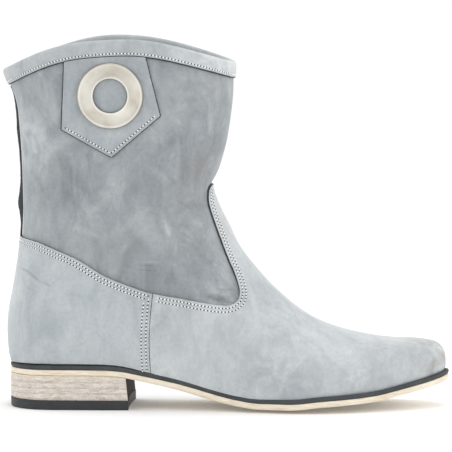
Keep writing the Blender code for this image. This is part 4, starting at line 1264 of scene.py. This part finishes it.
def build_tab():
    x0, z0 = SOLE_BACK + RING_AT[0] * SOLE_LENGTH, RING_AT[1] * COLLAR_FRONT
    corners = [(x0 + a * RING_DIAMETER, z0 + b * RING_DIAMETER) for a, b in TAB]
    half = AROUND // 2
    under = np.array([collar(j, BINDING_HEIGHT + 1.2 * GAP, GAP) for j in range(half)])
    top = [(x, float(np.interp(x, under[:, 0], under[:, 2])))
           for x in np.linspace(corners[-1][0], corners[0][0], 16)]
    rows = fine_rows(HEEL_ROW + 2, LAST_ROW)
    start = len(ROWS) - len(rows)
    columns = list(range(8, half - 8))
    index = LEG_GRID[start - leg_start:][:, columns]
    used = index.ravel()
    points, out = POINTS[used], OUT[used]
    wide = len(columns)
    faces = [[r * wide + c, r * wide + c + 1, (r + 1) * wide + c + 1, (r + 1) * wide + c]
             for r in range(len(rows) - 1) for c in range(wide - 1)]
    points, both = solid(points, out, faces, [], GAP, GAP + OVERLAY)
    piece = make("tab_leather", points, both, TAB_SKIN)
    cutter = prism("cut_tab", corners[1:4] + top, "Y", -COLLAR_WIDTH, 0.0, RAW_EDGE)
    boolean(piece, cutter, "INTERSECT")
    trim(piece, (cutter,), "side_tab")
    tree = surface(GAP + OVERLAY)
    store = stitch_store()
    centre = np.array(tree.ray_cast(Vector((x0, -0.1, z0)), Vector((0, 1, 0)))[0][:])
    for a, b, seed in ((1, 2, 21), (2, 3, 22)):
        ends = [np.array(corners[a]), np.array(corners[b])]
        inward = np.array((x0, z0)) - (ends[0] + ends[1]) / 2
        along = (ends[1] - ends[0]) / np.linalg.norm(ends[1] - ends[0])
        side = np.array((-along[1], along[0]))
        side = side if side.dot(inward) > 0 else -side
        first, last = (ends[0] + side * 0.0020 + along * 0.0018, ends[1] + side * 0.0020 - along * 0.0018)
        line = []
        for t in np.linspace(0, 1, 40):
            x, z = first + (last - first) * t
            hit = tree.ray_cast(Vector((x, -0.1, z)), Vector((0, 1, 0)))[0]
            line.append(hit[:])
        stitch_row(store, np.array(line), tree, pitch=0.0021, radius=0.00034, seed=seed)
    finish_stitches("tab_stitches", store)
    low_tree = surface(GAP)
    border = [top[-1]] + corners[1:4] + [top[0]]
    line, out = [], []
    for x, z in even(np.array(border), 0.0006):
        hit, normal = low_tree.ray_cast(Vector((x, -0.1, z)), Vector((0, 1, 0)))[:2]
        normal = normal if normal.y < 0 else -normal
        line.append(np.array(hit[:]) + np.array(normal[:]) * OVERLAY * 0.55)
        out.append(np.array(normal[:]))
    edge = rope(np.array(line), np.array(out), 0.00042, "tab_raw_edge", RAW_EDGE, flat=1.6, uneven=0.15)

    normal = tree.ray_cast(Vector((x0, -0.1, z0)), Vector((0, 1, 0)))[1]
    normal = normal if normal.y < 0 else -normal
    right = (Vector((1, 0, 0)) - normal * normal.x).normalized()
    up = right.cross(normal)
    up = up if up.z > 0 else -up
    r0, r1 = RING_HOLE / 2 / MM, RING_DIAMETER / 2 / MM
    profile = [(r0, 0.15), (r0 + 0.05, 0.60), (r0 + 0.28, 0.98), (r0 + 0.66, 1.16), (r0 + 1.10, 1.12),
               (r0 + 1.55, 0.92), (r0 + 2.1, 0.74), (r0 + 3.2, 0.64), (r0 + 4.5, 0.62), (r1 - 3.2, 0.66),
               (r1 - 2.3, 0.76), (r1 - 1.7, 0.94), (r1 - 1.2, 1.12), (r1 - 0.75, 1.14), (r1 - 0.32, 0.94),
               (r1 - 0.06, 0.55), (r1, 0.15)]
    spot_at = Vector(centre)
    points, faces = [], []
    turns = 128
    for k in range(turns):
        angle = 2 * math.pi * k / turns
        ray = right * math.cos(angle) + up * math.sin(angle)
        for r, height in profile:
            points.append(spot_at + ray * (r * MM) + normal * (GAP + height * MM))
        for r in (r1, r1 - 3, r0 + 3, r0):
            p = spot_at + ray * (r * MM)
            hit = tree.ray_cast(p + normal * 0.02, -normal)[0]
            points.append(p + normal * ((hit - p).dot(normal) + GAP * 0.6))
    count = len(profile) + 4
    for k in range(turns):
        n = (k + 1) % turns
        for i in range(count):
            j = (i + 1) % count
            faces.append([k * count + i, k * count + j, n * count + j, n * count + i])
    ring = make("steel_ring", points, faces, STEEL, smooth=50)
    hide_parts("ring")


# Stitching along the cut edges

def off_seam(line):
    """The part of an edge line that isn't the upright front seam."""
    seam = (np.abs(line[:, 0] - seam_x(line[:, 2])) < 0.0009) & (line[:, 2] < 0.528 * THROAT_HEIGHT)
    return line[~seam]


def build_pattern_stitches():
    store = stitch_store()
    for line in VAMP_EDGES:
        top = smooth_line(even(off_seam(line), 0.0008), 3)
        for k, distance in enumerate((0.0019, 0.0042)):
            row = beside(top, COVERED, distance, lambda p: (p[0] + 0.05, p[1] * 0.6, p[2] - 0.03))
            stitch_row(store, row, COVERED, seed=31 + k)
    finish_stitches("vamp_stitches", store)

    store = stitch_store()
    for line in COUNTER_EDGES:
        top = even(off_seam(line), 0.0008)
        for k, distance in enumerate((0.0019, 0.0041)):
            row = beside(top, COVERED, distance, lambda p: (p[0] - 0.004, p[1], p[2] - 0.03))
            row = row[row[:, 0] < seam_x(row[:, 2]) - distance - 0.0004]
            for part, seed in ((row[row[:, 1] < 0], 41), (row[row[:, 1] >= 0], 43)):
                stitch_row(store, part, COVERED, seed=seed + k)
        for side in (-1, 1):
            for k, distance in enumerate((0.0021, 0.0049)):
                height = np.arange(0.0232, 0.525 * THROAT_HEIGHT - distance * 0.9, 0.0008)
                row = []
                for z in height:
                    x = seam_x(z) - distance
                    hit = COVERED.ray_cast(Vector((x, side * 0.1, z)), Vector((0, -side, 0)))[0]
                    if hit is not None:
                        row.append(hit[:])
                stitch_row(store, np.array(row), COVERED, seed=51 + k + side)
    finish_stitches("counter_stitches", store)


# The sole

def outline_loop(stations, across, back, front, inset, push):
    """Plan points of a layer: rows from the back end forward, each from the outer side."""
    t = np.linspace(0, 1, stations + 1)
    whole = front >= 1
    spaced = 0.5 - 0.5 * np.cos(math.pi * t) if whole else 1 - np.cos(math.pi / 2 * t)
    shares = back + (front - back) * (0.2 * t + 0.8 * spaced)
    rows = []
    for k, share in enumerate(shares):
        middle, half = plan(share)
        x = SOLE_BACK + share * SOLE_LENGTH
        slope = 1.0
        half = max(half - inset * slope, half * 0.4)
        x = SOLE_BACK + inset + (x - SOLE_BACK) * (1 - inset * (2 if whole else 1) / ((front - back) * SOLE_LENGTH))
        if k == 0 or (k == stations and whole):
            rows.append([(x, middle)])
            continue
        row = []
        for j in range(across + 1):
            f = math.sin(math.pi / 2 * (2 * j / across - 1))
            bow = push * t[k] ** 4 - (0.0012 * (1 - f * f) * t[k] ** 8 if not whole else 0.0)
            row.append((x + bow, middle + half * f))
        rows.append(row)
    return rows


def sole_layer(name, back, front, rings, material, stations=96, across=22, replaces=None):
    """A closed layer. rings: (inset, height function, push of the cut front) from below up."""
    points, loops, grids = [], [], []
    for inset, height, push in rings:
        rows = outline_loop(stations, across, back, front, inset, push)
        ends = (rings.index((inset, height, push)) in (0, len(rings) - 1))
        grid = []
        for row in rows:
            line = []
            for j, (x, y) in enumerate(row):
                border = len(row) == 1 or j in (0, len(row) - 1) or (front < 1 and row is rows[-1])
                if ends or border:
                    points.append((x, y, height(x, y)))
                    line.append(len(points) - 1)
                else:
                    line.append(None)
            grid.append(line)
        loop = [grid[0][0]] + [line[0] for line in grid[1:] if len(line) > 1]
        if front < 1:
            loop += grid[-1][1:-1]
            loop += [line[-1] for line in grid[::-1] if len(line) > 1]
        else:
            loop += [grid[-1][0]] + [line[-1] for line in grid[::-1] if len(line) > 1]
        loops.append(loop)
        grids.append(grid)
    faces = []
    for grid, flip in ((grids[0], False), (grids[-1], True)):
        for a, b in zip(grid, grid[1:]):
            a = a * (across + 1) if len(a) == 1 else a
            b = b * (across + 1) if len(b) == 1 else b
            for j in range(across):
                face = [a[j], b[j], b[j + 1], a[j + 1]]
                face = [v for i, v in enumerate(face) if v != face[i - 1]]
                if len(face) > 2:
                    faces.append(face if flip else face[::-1])
    for a, b in zip(loops, loops[1:]):
        for i in range(len(a)):
            j = (i + 1) % len(a)
            faces.append([a[i], a[j], b[j], b[i]])
    piece = make(name, points, faces, material, smooth=35)
    if replaces:
        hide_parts(replaces)
    return piece


def over(base, extra):
    return lambda x, y: base(x, y) + extra


def build_sole():
    low = underside
    high = over(underside, OUTSOLE)
    sole_layer("outsole_leather", 0, 1, [
        (0.0007, low, 0), (0.0002, over(low, 0.0004), 0), (0.0, over(low, 0.0010), 0),
        (0.0, over(high, -0.0006), 0), (0.0003, high, 0)], SOLE_LEATHER, replaces="outsole")
    low, high = over(underside, OUTSOLE + GAP * 0.4), over(underside, OUTSOLE + GAP + MIDSOLE)
    sole_layer("midsole_strip", 0, 1, [
        (0.0005, low, 0), (0.0001, over(low, 0.0004), 0), (-0.0002, over(low, 0.0014), 0),
        (0.0001, over(high, -0.0005), 0), (0.0009, high, 0)], CHARCOAL, replaces="midsole")
    front = HEEL_LENGTH / SOLE_LENGTH

    def part_way(share):
        return lambda x, y: ((TOP_PIECE + GAP * 0.4) * (1 - share)
                             + (underside(x, y) - GAP * 0.4) * share)
    rings = [(0.0005, part_way(0.0), 0.85 * BREAST_FLARE)]
    for share, inset in ((0.03, 0.0001), (0.30, 0.0), (0.60, 0.0), (0.90, 0.0), (0.98, 0.0001)):
        rings.append((inset, part_way(share), (0.85 - 0.6 * share) * BREAST_FLARE))
    rings.append((0.0002, part_way(1.0), 0.25 * BREAST_FLARE))
    lifts = sole_layer("heel_lifts", 0, front, rings, HEEL_LAYERS, 48, 20, "heel_stack")
    lifts.data.materials.append(BREAST)
    ahead = SOLE_BACK + HEEL_LENGTH - 0.002
    for face in lifts.data.polygons:
        if face.normal.x > 0.8 and face.center.x > ahead:
            face.material_index = 1
    sole_layer("heel_tip", 0, front, [
        (0.0008, lambda x, y: 0.0, BREAST_FLARE), (0.0001, lambda x, y: 0.0006, BREAST_FLARE),
        (0.0, lambda x, y: TOP_PIECE - 0.0003, BREAST_FLARE), (0.0003, lambda x, y: TOP_PIECE, BREAST_FLARE)],
        RUBBER, 48, 20, "heel_top_piece")
    inset = (1 - FEATHER_RATIO) * BALL_WIDTH / 2 + 1.5 * WALL + 6 * GAP
    sole_layer("insole_leather", 0, 1, [
        (inset + 0.0004, seat, 0), (inset, over(seat, 0.0005), 0),
        (inset, over(seat, INSOLE - 0.0005), 0), (inset + 0.0005, over(seat, INSOLE), 0)],
        LINING, 60, 14, "insole")


build_binding()
build_back_seam()
build_tab()
build_pattern_stitches()
build_sole()


# Floor, camera and light

def build_floor():
    mesh = bpy.data.meshes.new("floor")
    back = [(y, 0.0) for y in (-6.0, 0.0, 2.2)]
    back += [(2.2 + 1.2 * math.sin(a), 1.2 - 1.2 * math.cos(a)) for a in np.linspace(0.1, math.pi / 2, 12)]
    back.append((3.4, 5.0))
    points = [(x, y, z) for x in (-6.0, 6.0) for y, z in back]
    count = len(back)
    mesh.from_pydata(points, [], [[i, i + 1, count + i + 1, count + i] for i in range(count - 1)])
    floor = bpy.data.objects.new("floor", mesh)
    bpy.context.scene.collection.objects.link(floor)
    material, tree, shader = principled("pale_floor", Roughness=0.85)
    shader.inputs["Base Color"].default_value = (0.92, 0.92, 0.92, 1.0)
    shader.inputs["Emission Color"].default_value = (1.0, 1.0, 1.0, 1.0)
    shader.inputs["Emission Strength"].default_value = 0.08
    mesh.materials.append(material)
    mesh.polygons.foreach_set("use_smooth", [True] * len(mesh.polygons))


def build_camera():
    distance, height, aim = 2.2, 0.270, Vector((0.09655, 0.0, 0.1108))
    tilt, turn = math.asin((height - aim.z) / distance), math.radians(3.0)
    back = Vector((math.sin(turn) * math.cos(tilt), -math.cos(turn) * math.cos(tilt), math.sin(tilt)))
    data = bpy.data.cameras.new("camera")
    camera = bpy.data.objects.new("camera", data)
    bpy.context.scene.collection.objects.link(camera)
    camera.location = aim + back * distance
    camera.rotation_euler = (-back).to_track_quat("-Z", "Y").to_euler()
    data.lens, data.sensor_width, data.clip_end = 284.9, 36.0, 30.0
    bpy.context.scene.camera = camera


def area_light(name, place_at, look_at, size, power, colour=(1, 1, 1)):
    data = bpy.data.lights.new(name, "AREA")
    data.shape, data.size, data.energy, data.color = "SQUARE", size, power, colour
    light = bpy.data.objects.new(name, data)
    bpy.context.scene.collection.objects.link(light)
    light.location = place_at
    light.rotation_euler = (Vector(look_at) - Vector(place_at)).to_track_quat("-Z", "Y").to_euler()


def build_light():
    world = bpy.context.scene.world or bpy.data.worlds.new("world")
    bpy.context.scene.world = world
    world.use_nodes = True
    shade_node = next(n for n in world.node_tree.nodes if n.type == "BACKGROUND")
    shade_node.inputs["Color"].default_value = (1.0, 1.0, 1.0, 1.0)
    shade_node.inputs["Strength"].default_value = 0.94
    area_light("key", (0.5, -1.6, 1.9), (0.10, 0, 0.1), 1.4, 5)
    area_light("left", (-1.6, 0.5, 0.7), (0.0, 0, 0.12), 1.2, 3)
    area_light("right", (1.8, 0.3, 0.8), (0.15, 0, 0.10), 1.2, 5)
    area_light("top", (0.25, 0.1, 1.9), (0.12, 0, 0.0), 1.4, 8)
    view = bpy.context.scene.view_settings
    view.view_transform, view.look = "Standard", "None"


for thing in [o for o in bpy.data.objects if o.name == "Cube"]:
    bpy.data.objects.remove(thing)
build_floor()
build_camera()
build_light()
